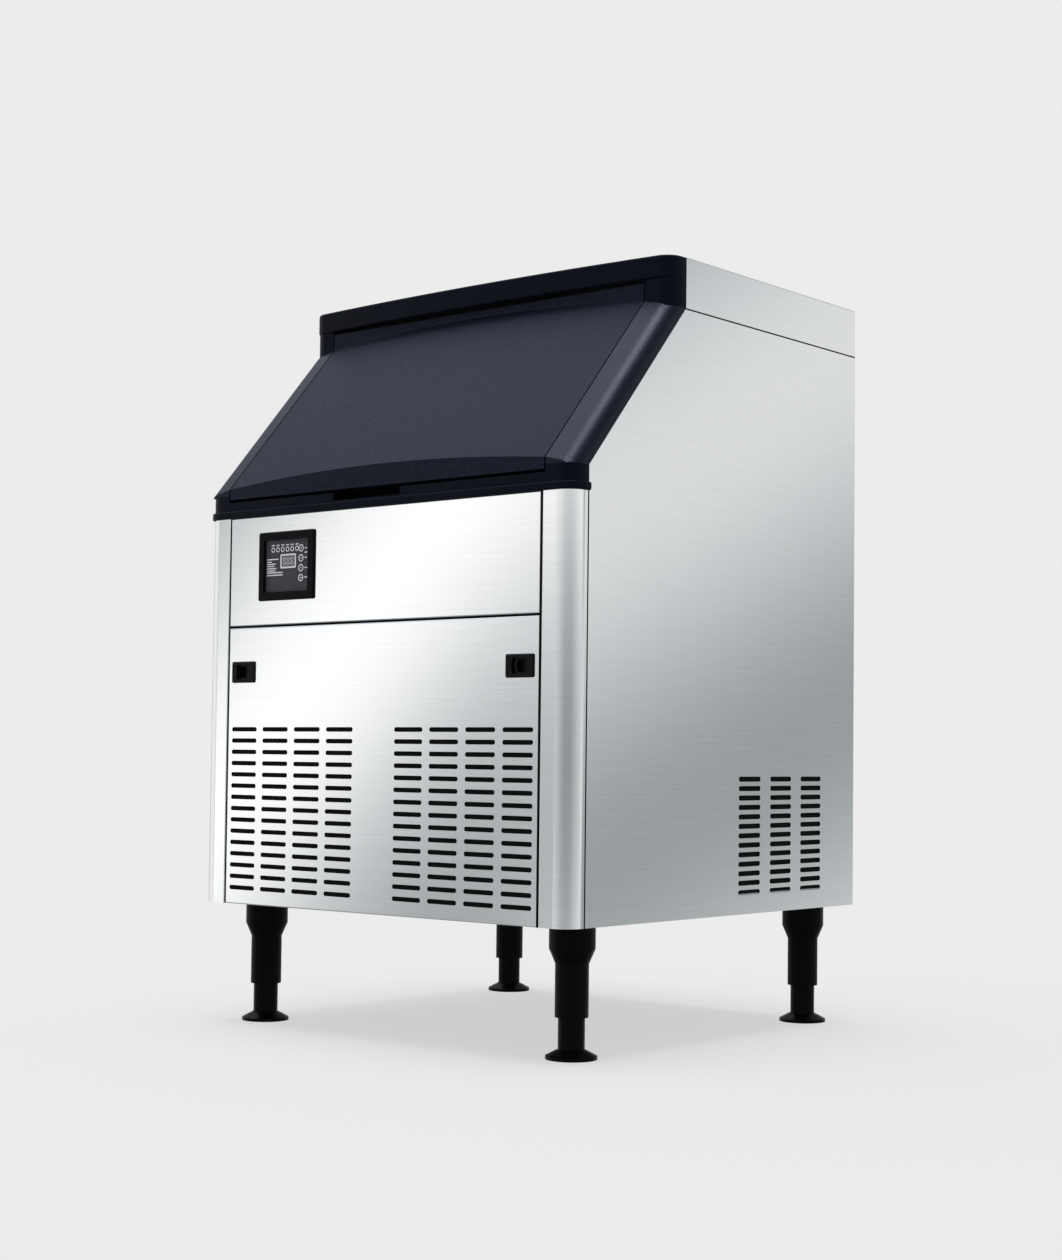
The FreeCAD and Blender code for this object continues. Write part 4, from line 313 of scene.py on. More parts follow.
class Finishes(Enum):
    """Every finish of the machine."""

    STEEL = Finish("steel", "stainless", *STEEL_SHADES, STEEL_GLOSS,
                   Grain((14.0, 14.0, 700.0), 3.0), metal=1.0)
    STEEL_SIDE = Finish("steel_side", "stainless", *STEEL_SHADES, STEEL_GLOSS,
                        Grain((700.0, 14.0, 700.0), 3.0), metal=1.0)
    ZINC_SHEET = Finish("zinc_sheet", "galvanised", srgb(150, 152, 154), srgb(176, 178, 180), (0.38, 0.55),
                        Grain.even(70.0, 5.0), metal=0.9)
    FRAME = Finish("frame_black", "frame_black", srgb(6, 8, 15), srgb(10, 12, 21), (0.36, 0.44),
                   Grain.even(900.0, 3.0), relief=0.05, specular=0.07, sheen=BLUE_SHEEN)
    RAIL = Finish("rail_slate", "frame_black", srgb(5, 7, 14), srgb(8, 11, 20), (0.34, 0.42),
                  Grain.even(300.0, 4.0), relief=0.10, specular=0.23, sheen=BLUE_SHEEN)
    DOOR = Finish("door_charcoal", "door_charcoal", srgb(5, 6, 13), srgb(24, 26, 40), (0.42, 0.60),
                  Grain.even(260.0, 5.0, 0.65), relief=0.45, relief_depth=0.0003, specular=0.14,
                  sheen=BLUE_SHEEN)
    LINER = Finish("liner_white", "liner_white", srgb(226, 230, 231), srgb(238, 241, 241), (0.30, 0.40),
                   Grain.even(120.0, 4.0), relief=0.03)
    FOAM = Finish("foam", "foam", srgb(214, 196, 140), srgb(234, 220, 172), (0.85, 0.95),
                  Grain.even(420.0, 5.0), relief=0.5)
    # Near-black fill of the seam and door-gap strips: painted shade that stands in for the shadow inside
    # open gaps.
    GAP_SHADE = Finish("painted_gap_shade", "gasket", srgb(5, 5, 6), srgb(9, 9, 11), (0.70, 0.85),
                  Grain.even(500.0, 3.0), relief=0.10, specular=0.05)
    RUBBER = Finish("rubber", "gasket", srgb(26, 26, 28), srgb(36, 36, 39), (0.62, 0.78),
                    Grain.even(500.0, 4.0), relief=0.12)
    TINNED = Finish("tinned", "tinned", srgb(190, 192, 192), srgb(214, 216, 216), (0.22, 0.38),
                    Grain.even(160.0, 4.0), metal=1.0)
    COPPER = Finish("copper", "copper", srgb(150, 84, 56), srgb(198, 122, 86), (0.28, 0.46),
                    Grain.even(90.0, 5.0), metal=1.0)
    CURTAIN = Finish("curtain", "curtain", srgb(190, 202, 208), srgb(206, 216, 221), (0.24, 0.34),
                     Grain.even(80.0, 3.0), relief=0.03)
    PUMP = Finish("dark_plastic", "pump", srgb(38, 40, 43), srgb(52, 54, 58), (0.42, 0.56),
                  Grain.even(400.0, 3.0), relief=0.08)
    HOSE = Finish("hose", "hose", srgb(188, 192, 192), srgb(206, 209, 208), (0.36, 0.48),
                  Grain.even(140.0, 3.0))
    VALVE = Finish("valve_white", "valve", srgb(198, 199, 195), srgb(216, 217, 213), (0.34, 0.46),
                   Grain.even(200.0, 3.0), relief=0.04)
    ENAMEL = Finish("enamel_black", "shell_black", srgb(16, 16, 18), srgb(24, 24, 27), (0.22, 0.34),
                    Grain.even(260.0, 3.0), relief=0.05, coat=0.3)
    FINS = Finish("fin_aluminium", "fins", srgb(176, 178, 180), srgb(200, 202, 204), (0.28, 0.42),
                  Grain((300.0, 300.0, 40.0), 3.0), metal=1.0)
    BEZEL = Finish("bezel_gloss", "bezel", srgb(6, 6, 8), srgb(10, 10, 12), (0.20, 0.28),
                   Grain.even(300.0, 3.0), specular=0.06)
    FACE = Finish("face_grey", "face", srgb(58, 54, 62), srgb(69, 65, 73), (0.40, 0.52),
                  Grain.even(900.0, 3.0), relief=0.04, specular=0.15)
    BOARD = Finish("board_green", "board", srgb(20, 72, 40), srgb(30, 92, 54), (0.34, 0.46),
                   Grain.even(500.0, 4.0))
    DISPLAY = Finish("display_dark", "display", srgb(10, 9, 11), srgb(16, 15, 17), (0.20, 0.28),
                     Grain.even(300.0, 2.0), specular=0.08)
    BUTTON = Finish("button_dark", "button", srgb(24, 22, 25), srgb(34, 31, 35), (0.34, 0.44),
                    Grain.even(700.0, 3.0), specular=0.1)
    LATCH = Finish("latch_black", "latch", srgb(7, 6, 8), srgb(11, 10, 12), (0.34, 0.46),
                   Grain.even(600.0, 3.0), relief=0.06, specular=0.10)
    LEG = Finish("leg_black", "leg", srgb(5, 4, 5), srgb(8, 7, 8), (0.26, 0.36),
                 Grain.even(300.0, 3.0), relief=0.04, specular=0.04)
    ZINC = Finish("zinc_bright", "zinc", srgb(170, 172, 170), srgb(196, 197, 194), (0.24, 0.38),
                  Grain.even(400.0, 3.0), metal=1.0)
    INK = Finish("panel_ink", "face", srgb(206, 203, 208), srgb(226, 223, 228), (0.45, 0.55),
                 Grain.even(900.0, 2.0), specular=0.2)
    WINDOW = Finish("display_window", "display", srgb(92, 88, 93), srgb(102, 98, 103), (0.22, 0.30),
                    Grain.even(300.0, 2.0), specular=0.2)
    DIGIT = Finish("display_digit", "display", srgb(172, 168, 174), srgb(186, 182, 188), (0.30, 0.40),
                   Grain.even(900.0, 2.0), specular=0.2)
    FILTER = Finish("filter_mesh", "pump", srgb(5, 5, 6), srgb(10, 10, 11), (0.8, 0.95),
                    Grain.even(800.0, 2.0), relief=0.4, specular=0.1)

    @property
    def material(self) -> bpy.types.Material:
        """The built material, made on first use."""
        return bpy.data.materials.get(self.value.label) or self.value.build()


def dress(item: bpy.types.Object, finish: Finishes) -> bpy.types.Object:
    """Gives a piece its only material.

    Args:
        item: Piece to dress.
        finish: Its finish.

    Returns:
        The piece.
    """
    item.data.materials.clear()
    item.data.materials.append(finish.material)
    return item


def place_mesh(name: str, mesh: bmesh.types.BMesh) -> bpy.types.Object:
    """Turns a mesh into an object of the scene.

    Args:
        name: Name of the object.
        mesh: Its mesh in the CAD frame, which is used up.

    Returns:
        The object.
    """
    data = bpy.data.meshes.new(name)
    mesh.to_mesh(data)
    mesh.free()
    item = bpy.data.objects.new(name, data)
    bpy.context.scene.collection.objects.link(item)
    return item


def piece(name: str, mesh: bmesh.types.BMesh, finish: Finishes, body: str) -> bpy.types.Object:
    """Turns a mesh into a dressed piece that rides on a body.

    Args:
        name: Name of the piece.
        mesh: Its mesh in the CAD frame, which is used up.
        finish: Its finish.
        body: CAD body that it rides on.

    Returns:
        The piece.
    """
    item = dress(place_mesh(name, mesh), finish)
    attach(item, body)
    return item


def bar(low: Sequence[float], high: Sequence[float], soft: float) -> bmesh.types.BMesh:
    """Block between two corners with rounded edges.

    Args:
        low: Lowest corner.
        high: Highest corner.
        soft: Radius of the edges.

    Returns:
        The mesh.
    """
    mesh = bmesh.new()
    size = Vector(high) - Vector(low)
    place = Matrix.Translation((Vector(low) + Vector(high)) / 2) @ Matrix.Diagonal((*size, 1.0))
    bmesh.ops.create_cube(mesh, size=1.0, matrix=place)
    bmesh.ops.bevel(mesh, geom=mesh.edges[:], offset=soft, segments=EDGE_STEPS, affect="EDGES",
                    profile=ROUND_PROFILE)
    return mesh


def middle(box: Box) -> Corner:
    """Middle of a box, across and up."""
    return (box[0].x + box[1].x) / 2, (box[0].z + box[1].z) / 2


@dataclass(frozen=True)
class CadFinishes:
    """Finish of each CAD node that is shown as it is."""

    groups: tuple[tuple[Finishes, tuple[str, ...]], ...] = (
        (Finishes.STEEL, ("left_front_column", "right_front_column", "upper_front_panel",
                          "lower_front_panel", "rear_panel")),
        (Finishes.STEEL_SIDE, ("left_side_panel", "right_side_panel", "top_cover")),
        (Finishes.ZINC_SHEET, ("base_pan", "fan_shroud", "electrical_box")),
        (Finishes.FRAME, ("frame_sill", "frame_header")),
        (Finishes.RAIL, ("frame_left_rail", "frame_right_rail")),
        (Finishes.DOOR, ("bin_door",)),
        (Finishes.LINER, ("bin_liner", "bin_door_inner_panel", "water_trough", "evaporator_bracket",
                          "water_distributor")),
        (Finishes.FOAM, ("bin_insulation", "top_insulation")),
        (Finishes.RUBBER, ("bin_door_gasket", "compressor_mounts")),
        (Finishes.TINNED, ("evaporator_plate",)),
        (Finishes.COPPER, ("evaporator_coil", "discharge_line", "liquid_line", "suction_line",
                           "filter_drier")),
        (Finishes.CURTAIN, ("water_curtain",)),
        (Finishes.PUMP, ("water_pump", "hot_gas_valve", "cord_gland")),
        (Finishes.HOSE, ("pump_hose", "fill_tube", "bin_drain")),
        (Finishes.VALVE, ("water_inlet_valve",)),
        (Finishes.ENAMEL, ("compressor", "fan_motor")),
        (Finishes.FINS, ("condenser", "fan_blade")),
        (Finishes.BEZEL, ("control_bezel",)),
        (Finishes.FACE, ("control_face",)),
        (Finishes.BOARD, ("control_board",)),
        (Finishes.DISPLAY, ("display_module",)),
        (Finishes.BUTTON, ("control_button_1", "control_button_2", "control_button_3", "control_button_4")),
        (Finishes.LATCH, ("latch_housings", "left_latch_slide", "right_latch_slide")),
        (Finishes.LEG, ("leg_sleeves", "front_left_foot", "front_right_foot", "rear_left_foot",
                        "rear_right_foot")),
        (Finishes.ZINC, ("cabinet_fasteners",)),
    )

    def build(self) -> Pieces:
        """Dresses the CAD nodes and returns them."""
        return [dress(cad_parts[node], finish) for finish, nodes in self.groups for node in nodes]


@dataclass
class AirFilters:
    """Dark mesh mats behind the vents."""

    thickness: float = 0.003
    gap: float = 0.0004
    sheet: float = 0.001
    edge: float = 0.003
    front_height: float = 0.26
    side_length: tuple[float, float] = (0.02, 0.24)
    side_height: tuple[float, float] = (0.172, 0.36)

    def build(self) -> Pieces:
        """Adds the mats and returns them."""
        return [self.add_front()] + [self.add_side(side) for side in Side]

    def add_front(self) -> bpy.types.Object:
        """Adds the mat behind the front vents.

        Returns:
            The mat.
        """
        low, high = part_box("lower_front_panel")
        front = low.y + self.sheet + self.gap
        mesh = bar((low.x + self.edge, front, low.z + self.edge),
                   (high.x - self.edge, front + self.thickness, low.z + self.front_height), self.gap)
        return piece("front_air_filter", mesh, Finishes.FILTER, Body.CABINET)

    def add_side(self, side: Side) -> bpy.types.Object:
        """Adds the mat behind the vents of a side.

        Args:
            side: Side of the cabinet.

        Returns:
            The mat.
        """
        face = side.outer(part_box(f"{side.label}_side_panel"))
        start = self.sheet + self.gap
        xs = side.inwards(face, start, start + self.thickness)
        low, high = zip(xs, self.side_length, self.side_height)
        return piece(f"{side.label}_air_filter", bar(low, high, self.gap), Finishes.FILTER, Body.CABINET)


@dataclass
class SeamShadeStrips:
    """Black strips in the open seams of the cabinet, and thin black lips that lap over the edges of some:
    painted shade that stands in for the shadow inside the seams.
    """

    side_seam: float = 0.0015
    front_seam: float = 0.0025
    sheet: float = 0.001
    side_recess: float = 0.00012
    front_recess: float = 0.0009
    upright_recess: float = 0.0004
    depth: float = 0.006
    lip: float = 0.0004
    lip_proud: float = 0.00012
    lip_soft: float = 0.00002
    clear: float = 0.00006
    soft: float = 0.0002

    def build(self) -> Pieces:
        """Adds the dark strips of painted shade in the seams of the front, the sides and the top cover.

        Returns:
            The strips and lips.
        """
        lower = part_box("lower_front_panel")
        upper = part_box("upper_front_panel")
        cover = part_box("top_cover")
        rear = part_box("rear_panel")
        front = lower[0].y + self.front_recess
        back = front + self.depth
        made = [self.add_shade_strip("front_shade_strip", (lower[0].x, front, lower[1].z),
                              (lower[1].x, back, upper[0].z))]
        for side in Side:
            xs = side.inwards(side.outer(lower), 0.0, -self.front_seam)
            made.append(self.add_shade_strip(f"{side.label}_front_shade_strip",
                                      (xs[0], lower[0].y + self.upright_recess, lower[0].z),
                                      (xs[1], back, upper[1].z)))
            made += self.add_side(side, cover)
        made.append(self.add_shade_lip("right_front_shade_lip",
                                 (lower[1].x - self.lip, lower[0].y - self.lip_proud, lower[0].z),
                                 (lower[1].x + self.front_seam + self.lip, lower[0].y - self.clear,
                                  upper[1].z - self.clear)))
        made.append(self.add_shade_strip("rear_cover_shade_strip",
                                  (rear[0].x, rear[1].y - self.sheet, cover[0].z - self.side_seam),
                                  (rear[1].x, rear[1].y - self.side_recess, cover[0].z)))
        return made

    def add_side(self, side: Side, cover: Box) -> Pieces:
        """Adds the strips and lips of painted shade beside the column and under the top cover.

        Args:
            side: Side of the cabinet.
            cover: Box of the top cover.

        Returns:
            The seals and lips.
        """
        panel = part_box(f"{side.label}_side_panel")
        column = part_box(f"{side.label}_front_column")
        face = side.outer(panel)
        xs = side.inwards(face, self.sheet, self.side_recess)
        proud = side.inwards(face, -self.clear, -self.lip_proud)
        seam_y = panel[0].y - self.side_seam
        seam_z = cover[0].z - self.side_seam
        return [
            self.add_shade_strip(f"{side.label}_column_shade_strip", (xs[0], seam_y, column[0].z),
                          (xs[1], panel[0].y, column[1].z)),
            self.add_shade_strip(f"{side.label}_cover_shade_strip", (xs[0], cover[0].y, seam_z),
                          (xs[1], cover[1].y, cover[0].z)),
            self.add_shade_lip(f"{side.label}_column_shade_lip", (proud[0], seam_y - self.lip, column[0].z),
                         (proud[1], panel[0].y + self.lip, column[1].z - self.clear)),
            self.add_shade_lip(f"{side.label}_cover_shade_lip",
                         (proud[0], cover[0].y + self.clear, seam_z - self.lip / 2),
                         (proud[1], cover[1].y - self.sheet, cover[0].z + self.lip / 2)),
        ]

    def add_shade_strip(self, name: str, low: Sequence[float], high: Sequence[float]) -> bpy.types.Object:
        """Adds a dark strip of painted shade that just fits between two corners.

        Args:
            name: Name of the strip.
            low: Lowest corner of its seam.
            high: Highest corner of its seam.

        Returns:
            The strip.
        """
        fit = Vector((self.clear, self.clear, self.clear))
        mesh = bar(Vector(low) + fit, Vector(high) - fit, self.soft)
        return piece(name, mesh, Finishes.GAP_SHADE, Body.CABINET)

    def add_shade_lip(self, name: str, low: Sequence[float], high: Sequence[float]) -> bpy.types.Object:
        """Adds a thin dark lip of painted shade between two corners."""
        return piece(name, bar(low, high, self.lip_soft), Finishes.GAP_SHADE, Body.CABINET)


@dataclass
class DoorGapShades:
    """Near-black lips in the gaps round the door, on the sill, under the door and beside its top strip:
    painted shade that stands in for the shadow in those gaps.
    """

    ledge: float = 0.022
    apron: float = 0.002
    thickness: float = 0.003
    width: float = 0.005
    drop: float = 0.0021
    trunnion: float = 0.009
    end_thickness: float = 0.0014
    end_width: float = 0.0035
    end_back: float = 0.001
    end_rise: float = 0.003
    clear: float = 0.0002
    soft: float = 0.0008
    end_soft: float = 0.0004

    def build(self) -> Pieces:
        """Adds the lips of painted shade.

        Returns:
            The lips.
        """
        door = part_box("bin_door")
        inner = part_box("bin_door_inner_panel")
        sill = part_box("frame_sill")
        back = sill[1].y - self.apron - self.clear
        ledge = bar((inner[0].x, back - self.thickness, sill[0].z + self.ledge + self.clear),
                    (inner[1].x, back, door[0].z - self.clear), self.soft)
        back = inner[0].y - self.clear
        bottom = bar((inner[0].x, back - self.width, door[0].z - self.drop),
                     (inner[1].x, back, door[0].z), self.soft)
        return [piece("sill_ledge_shade_strip", ledge, Finishes.GAP_SHADE, Body.CABINET),
                piece("door_bottom_shade_strip", bottom, Finishes.GAP_SHADE, Body.DOOR),
                *(self.add_end(side, door) for side in Side)]

    def add_end(self, side: Side, door: Box) -> bpy.types.Object:
        """Adds the dark lip of painted shade beside one end of the door's top strip.

        Args:
            side: Side of the machine.
            door: Box of the door.

        Returns:
            The lip.
        """
        start = self.trunnion + self.clear / 2
        xs = side.inwards(side.outer(door), start, start + self.end_thickness)
        back = door[1].y + self.end_back
        mesh = bar((xs[0], back - self.end_width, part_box("top_cover")[0].z),
                   (xs[1], back, door[1].z + self.end_rise), self.end_soft)
        return piece(f"{side.label}_header_shade_lip", mesh, Finishes.GAP_SHADE, Body.CABINET)


def circle(x: float, z: float, radius: float, start: float = 0.0, turn: float = FULL_TURN,
           steps: int = CIRCLE_STEPS) -> list[Corner]:
    """Points along a circle.

    Args:
        x: Middle, across.
        z: Middle, up.
        radius: Radius.
        start: Angle of the first point, in degrees.
        turn: Angle covered, in degrees.
        steps: Points on a full circle.

    Returns:
        The points, without a repeat of the first one on a full circle.
    """
    count = max(2, round(steps * turn / FULL_TURN))
    last = count if turn >= FULL_TURN else count - 1
    angles = [math.radians(start + turn * i / last) for i in range(count)]
    return [(x + radius * math.cos(a), z + radius * math.sin(a)) for a in angles]


def oblong(x: float, z: float, width: float, height: float, radius: float = 0.0) -> list[Corner]:
    """Rectangle with sharp or round corners.

    Args:
        x: Middle, across.
        z: Middle, up.
        width: Width.
        height: Height.
        radius: Corner radius.

    Returns:
        Its points.
    """
    if radius <= 0:
        return [(x - width / 2, z - height / 2), (x + width / 2, z - height / 2),
                (x + width / 2, z + height / 2), (x - width / 2, z + height / 2)]
    points = []
    for i, (sx, sz) in enumerate(((1, 1), (-1, 1), (-1, -1), (1, -1))):
        corner = (x + sx * (width / 2 - radius), z + sz * (height / 2 - radius))
        points += circle(*corner, radius, QUARTER_TURN * i, QUARTER_TURN, CORNER_STEPS)
    return points


class Print:
    """Thin marks laid on a plane that faces the front."""

    THICK = 0.00008

    def __init__(self, plane: float) -> None:
        """Starts with no marks on a plane at this place along Y."""
        self.plane = plane
        self.mesh = bmesh.new()

    def ring(self, points: Sequence[Corner], depth: float) -> list[bmesh.types.BMVert]:
        """Vertices of a loop, so far above the plane."""
        return [self.mesh.verts.new((x, self.plane - depth, z)) for x, z in points]

    def shape(self, points: Sequence[Corner]) -> None:
        """Adds a filled shape.

        Args:
            points: Its outline.
        """
        low = self.ring(points, 0.0)
        high = self.ring(points, self.THICK)
        self.mesh.faces.new(low)
        self.mesh.faces.new(high[::-1])
        self.walls(low, high)

    def band(self, outer: Sequence[Corner], inner: Sequence[Corner]) -> None:
        """Adds a closed band between two loops with as many points each.

        Args:
            outer: Outer loop.
            inner: Inner loop.
        """
        low = [self.ring(outer, 0.0), self.ring(inner, 0.0)]
        high = [self.ring(outer, self.THICK), self.ring(inner, self.THICK)]
        for pair in (low, high):
            self.walls(*pair)
        for below, above in zip(low, high):
            self.walls(below, above)

    def walls(self, first: Sequence[bmesh.types.BMVert], second: Sequence[bmesh.types.BMVert]) -> None:
        """Joins two loops with quads.

        Args:
            first: One loop.
            second: The other loop.
        """
        for i, vert in enumerate(first):
            ahead = (i + 1) % len(first)
            self.mesh.faces.new((vert, first[ahead], second[ahead], second[i]))

    def done(self, name: str, finish: Finishes, body: str) -> bpy.types.Object:
        """Turns the marks into a piece of this name and finish on a body."""
        bmesh.ops.recalc_face_normals(self.mesh, faces=self.mesh.faces)
        return piece(name, self.mesh, finish, body)


@dataclass
class ControlPanel:
    """Printed marks, display window and button symbols of the control panel."""

    lamps: int = 6
    lamp_x: float = -0.02785
    lamp_z: float = 0.0218
    lamp_pitch: float = 0.009
    lamp_ring: tuple[float, float] = (0.0034, 0.0021)
    lamp_bar: tuple[float, float] = (0.0056, 0.0015)
    lamp_bar_up: float = 0.0058
    frame_grow: float = 0.0002
    frame_width: float = 0.0038
    frame_corners: tuple[float, float] = (0.002, 0.001)
    window_clear: float = 0.0002
    digit: tuple[float, float] = (0.0056, 0.0102)
    digit_pitch: float = 0.0070
    digit_stroke: float = 0.0014
    digit_level_cut: float = 2.4
    digit_upright_cut: float = 1.6
    note_left: float = -0.0392
    note_height: float = 0.0014
    # Rise and length of each bar of the note.
    note_bars: tuple[Corner, ...] = (
        (0.0093, 0.0215), (0.0060, 0.0085), (0.0031, 0.0165), (0.0003, 0.0135),
        (-0.0028, 0.0180), (-0.0058, 0.0160), (-0.0085, 0.0300), (-0.0118, 0.0300))
    label_out: float = 0.0054
    label_height: float = 0.0014
    # Button, rise and length of each label.
    labels: tuple[tuple[Symbol, float, float], ...] = (
        (Symbol.POWER, 0.0, 0.0048), (Symbol.POWER, -0.0058, 0.0090), (Symbol.UP, 0.0006, 0.0046),
        (Symbol.DOWN, 0.0, 0.0066), (Symbol.DOT, 0.0006, 0.0058))
    button_ring: tuple[float, float] = (0.0048, 0.0034)
    symbol: float = 0.0016
    # Start and turn of the power sign's arc, then its inner radius and its stem as shares of the symbol.
    power_arc: tuple[float, float] = (125.0, 290.0)
    power_inner: float = 0.68
    power_stem_rise: float = 0.75
    power_stem: tuple[float, float] = (0.32, 1.1)
    dot: float = 0.8

    def build(self) -> Pieces:
        """Adds the marks of the face, the buttons and the display.

        Returns:
            The marks.
        """
        x, z = middle(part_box("control_bezel"))
        face = Print(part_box("control_face")[0].y)
        for i in range(self.lamps):
            place = (x + self.lamp_x + i * self.lamp_pitch, z + self.lamp_z)
            face.band(*(circle(*place, radius) for radius in self.lamp_ring))
            face.shape(oblong(place[0], place[1] + self.lamp_bar_up, *self.lamp_bar))
        for rise, length in self.note_bars:
            face.shape(oblong(x + self.note_left + length / 2, z + rise, length, self.note_height))
        made = [self.add_button(symbol, face) for symbol in Symbol]
        made.append(face.done("panel_marks", Finishes.INK, Body.CABINET))
        return made + self.add_display()

    def add_button(self, symbol: Symbol, face: Print) -> bpy.types.Object:
        """Marks a button and the face beside it.

        Args:
            symbol: Sign on the button.
            face: Print of the face.

        Returns:
            The button's marks.
        """
        node = f"control_button_{symbol.value}"
        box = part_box(node)
        x, z = middle(box)
        for owner, rise, length in self.labels:
            if owner is symbol:
                face.shape(oblong(x + self.label_out + length / 2, z + rise, length, self.label_height))
        cap = Print(box[0].y)
        cap.band(*(circle(x, z, radius) for radius in self.button_ring))
        for outline in self.sign(symbol, x, z):
            cap.shape(outline)
        return cap.done(f"button_marks_{symbol.value}", Finishes.INK, node)

    def sign(self, symbol: Symbol, x: float, z: float) -> list[list[Corner]]:
        """Outlines of a button's sign.

        Args:
            symbol: The sign.
            x: Middle, across.
            z: Middle, up.

        Returns:
            One outline for each of its shapes.
        """
        size = self.symbol
        if symbol is Symbol.POWER:
            outer = circle(x, z, size, *self.power_arc)
            inner = circle(x, z, size * self.power_inner, *self.power_arc)
            width, height = self.power_stem
            return [outer + inner[::-1],
                    oblong(x, z + size * self.power_stem_rise, size * width, size * height)]
        if symbol is Symbol.DOT:
            return [circle(x, z, size * self.dot)]
        start = QUARTER_TURN if symbol is Symbol.UP else 3 * QUARTER_TURN
        return [circle(x, z, size, start, steps=TRIANGLE_STEPS)]

    def add_display(self) -> Pieces:
        """Adds the display's frame, window and digits.

        Returns:
            The pieces of the display.
        """
        low, high = self.display_box()
        x, z = middle((low, high))
        width = high.x - low.x
        height = high.z - low.z
        front = low.y - Print.THICK
        rim = Print(front)
        grow = 2 * self.frame_grow
        rim.band(oblong(x, z, width + grow, height + grow, self.frame_corners[0]),
                 oblong(x, z, width - self.frame_width, height - self.frame_width, self.frame_corners[1]))
        window = Print(low.y)
        window.shape(oblong(x, z, width - self.window_clear, height - self.window_clear))
        digits = Print(front)
        for i in (-1, 0, 1):
            for stroke in self.strokes(x + i * self.digit_pitch, z):
                digits.shape(stroke)
        return [rim.done("display_frame", Finishes.INK, Body.CABINET),
                window.done("display_window", Finishes.WINDOW, Body.CABINET),
                digits.done("display_digits", Finishes.DIGIT, Body.CABINET)]

    def strokes(self, x: float, z: float) -> list[list[Corner]]:
        """Outlines of a digit's seven strokes.

        Args:
            x: Middle, across.
            z: Middle, up.

        Returns:
            The outlines, the level strokes first.
        """
        across, tall = self.digit
        stroke = self.digit_stroke
        level_length = across - self.digit_level_cut * stroke
        upright_length = tall / 2 - self.digit_upright_cut * stroke
        levels = [oblong(x, z + level * (tall - stroke) / 2, level_length, stroke) for level in (-1, 0, 1)]
        uprights = [oblong(x + side * (across - stroke) / 2, z + level * tall / 4, stroke, upright_length)
                    for side in (-1, 1) for level in (-1, 1)]
        return levels + uprights

    def display_box(self) -> Box:
        """Box of the display without its lamps, which sit above the foot of the first button.

        Returns:
            Lowest and highest corner.
        """
        lamp_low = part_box("control_button_1")[0].z
        points = [v.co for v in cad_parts["display_module"].data.vertices if v.co.z < lamp_low]
        axes = list(zip(*points))
        return Vector([min(axis) for axis in axes]), Vector([max(axis) for axis in axes])


@dataclass(frozen=True)
class Floor:
    """Plain pale floor, which glows a little so that it meets the backdrop in one tone."""

    half: float = 60.0
    glow: float = 0.566
    shade: Colour = (0.177, 0.170, 0.167)

    def build(self) -> bpy.types.Object:
        """Adds the floor.

        Returns:
            The floor.
        """
        mesh = bmesh.new()
        bmesh.ops.create_grid(mesh, x_segments=1, y_segments=1, size=self.half)
        floor = place_mesh("floor", mesh)
        floor.visible_glossy = False
        floor.data.materials.append(self.material())
        return floor

    def material(self) -> bpy.types.Material:
        """Makes the floor's material.

        Returns:
            The material.
        """
        material = bpy.data.materials.new("floor")
        material.use_nodes = True
        graph = Graph(material.node_tree)
        shade = graph.add("ShaderNodeBsdfDiffuse", {"Color": graph.tone(self.shade)})
        tone = (self.glow, self.glow, self.glow)
        glow = graph.add("ShaderNodeEmission", {"Color": graph.tone(tone), "Strength": 1.0})
        both = graph.add("ShaderNodeAddShader", {0: shade.outputs[0], 1: glow.outputs[0]})
        graph.output("ShaderNodeOutputMaterial", both)
        return material


class Ray:
    """Direction of a ray of light as its turn round Z and its rise, in degrees."""

    def __init__(self, graph: Graph) -> None:
        """Works the angles out.

        Args:
            graph: Graph of the world.
        """
        self.graph = graph
        place = graph.add("ShaderNodeTexCoord").outputs["Generated"]
        x, y, z = graph.add("ShaderNodeSeparateXYZ", {0: place}).outputs
        self.turn = graph.times(graph.math("ARCTAN2", y, x), math.degrees(1.0))
        self.rise = graph.times(graph.math("ARCSINE", z), math.degrees(1.0))

    def window(self, low: float, high: float, soft: float) -> Socket:
        """Mask of the directions between two turns.

        Args:
            low: Turn where it starts.
            high: Turn where it ends.
            soft: Half the width of its soft ends.

        Returns:
            The mask, from 0 to 1.
        """
        up = self.graph.spread(self.turn, low - soft, low + soft, 0.0, 1.0)
        down = self.graph.spread(self.turn, high - soft, high + soft, 1.0, 0.0)
        return self.graph.times(up, down)


@dataclass(frozen=True)
class OpenSky:
    """Light from above: a pale ceiling, a bright patch overhead and a softbox on the left."""

    ceiling: Ramp = (28.0, 60.0, 0.42, 0.90)
    overhead: Ramp = (70.0, 80.0, 0.0, 11.0)
    box_turn: float = 174.0
    box_width: Ramp = (0.2, 0.8, 0.0, 1.0)
    box_bottom: Ramp = (30.0, 46.0, 0.0, 1.3)
    box_top: Ramp = (64.0, 74.0, 1.0, 0.0)

    def level(self, ray: Ray) -> Socket:
        """Strength of the light.

        Args:
            ray: Direction that it comes from.

        Returns:
            The strength.
        """
        graph = ray.graph
        level = graph.plus(graph.spread(ray.rise, *self.ceiling), graph.spread(ray.rise, *self.overhead))
        facing = graph.math("COSINE", graph.times(graph.plus(ray.turn, self.box_turn), math.radians(1.0)))
        box = graph.times(graph.spread(ray.rise, *self.box_bottom), graph.spread(ray.rise, *self.box_top))
        return graph.line(box, graph.spread(facing, *self.box_width), level)


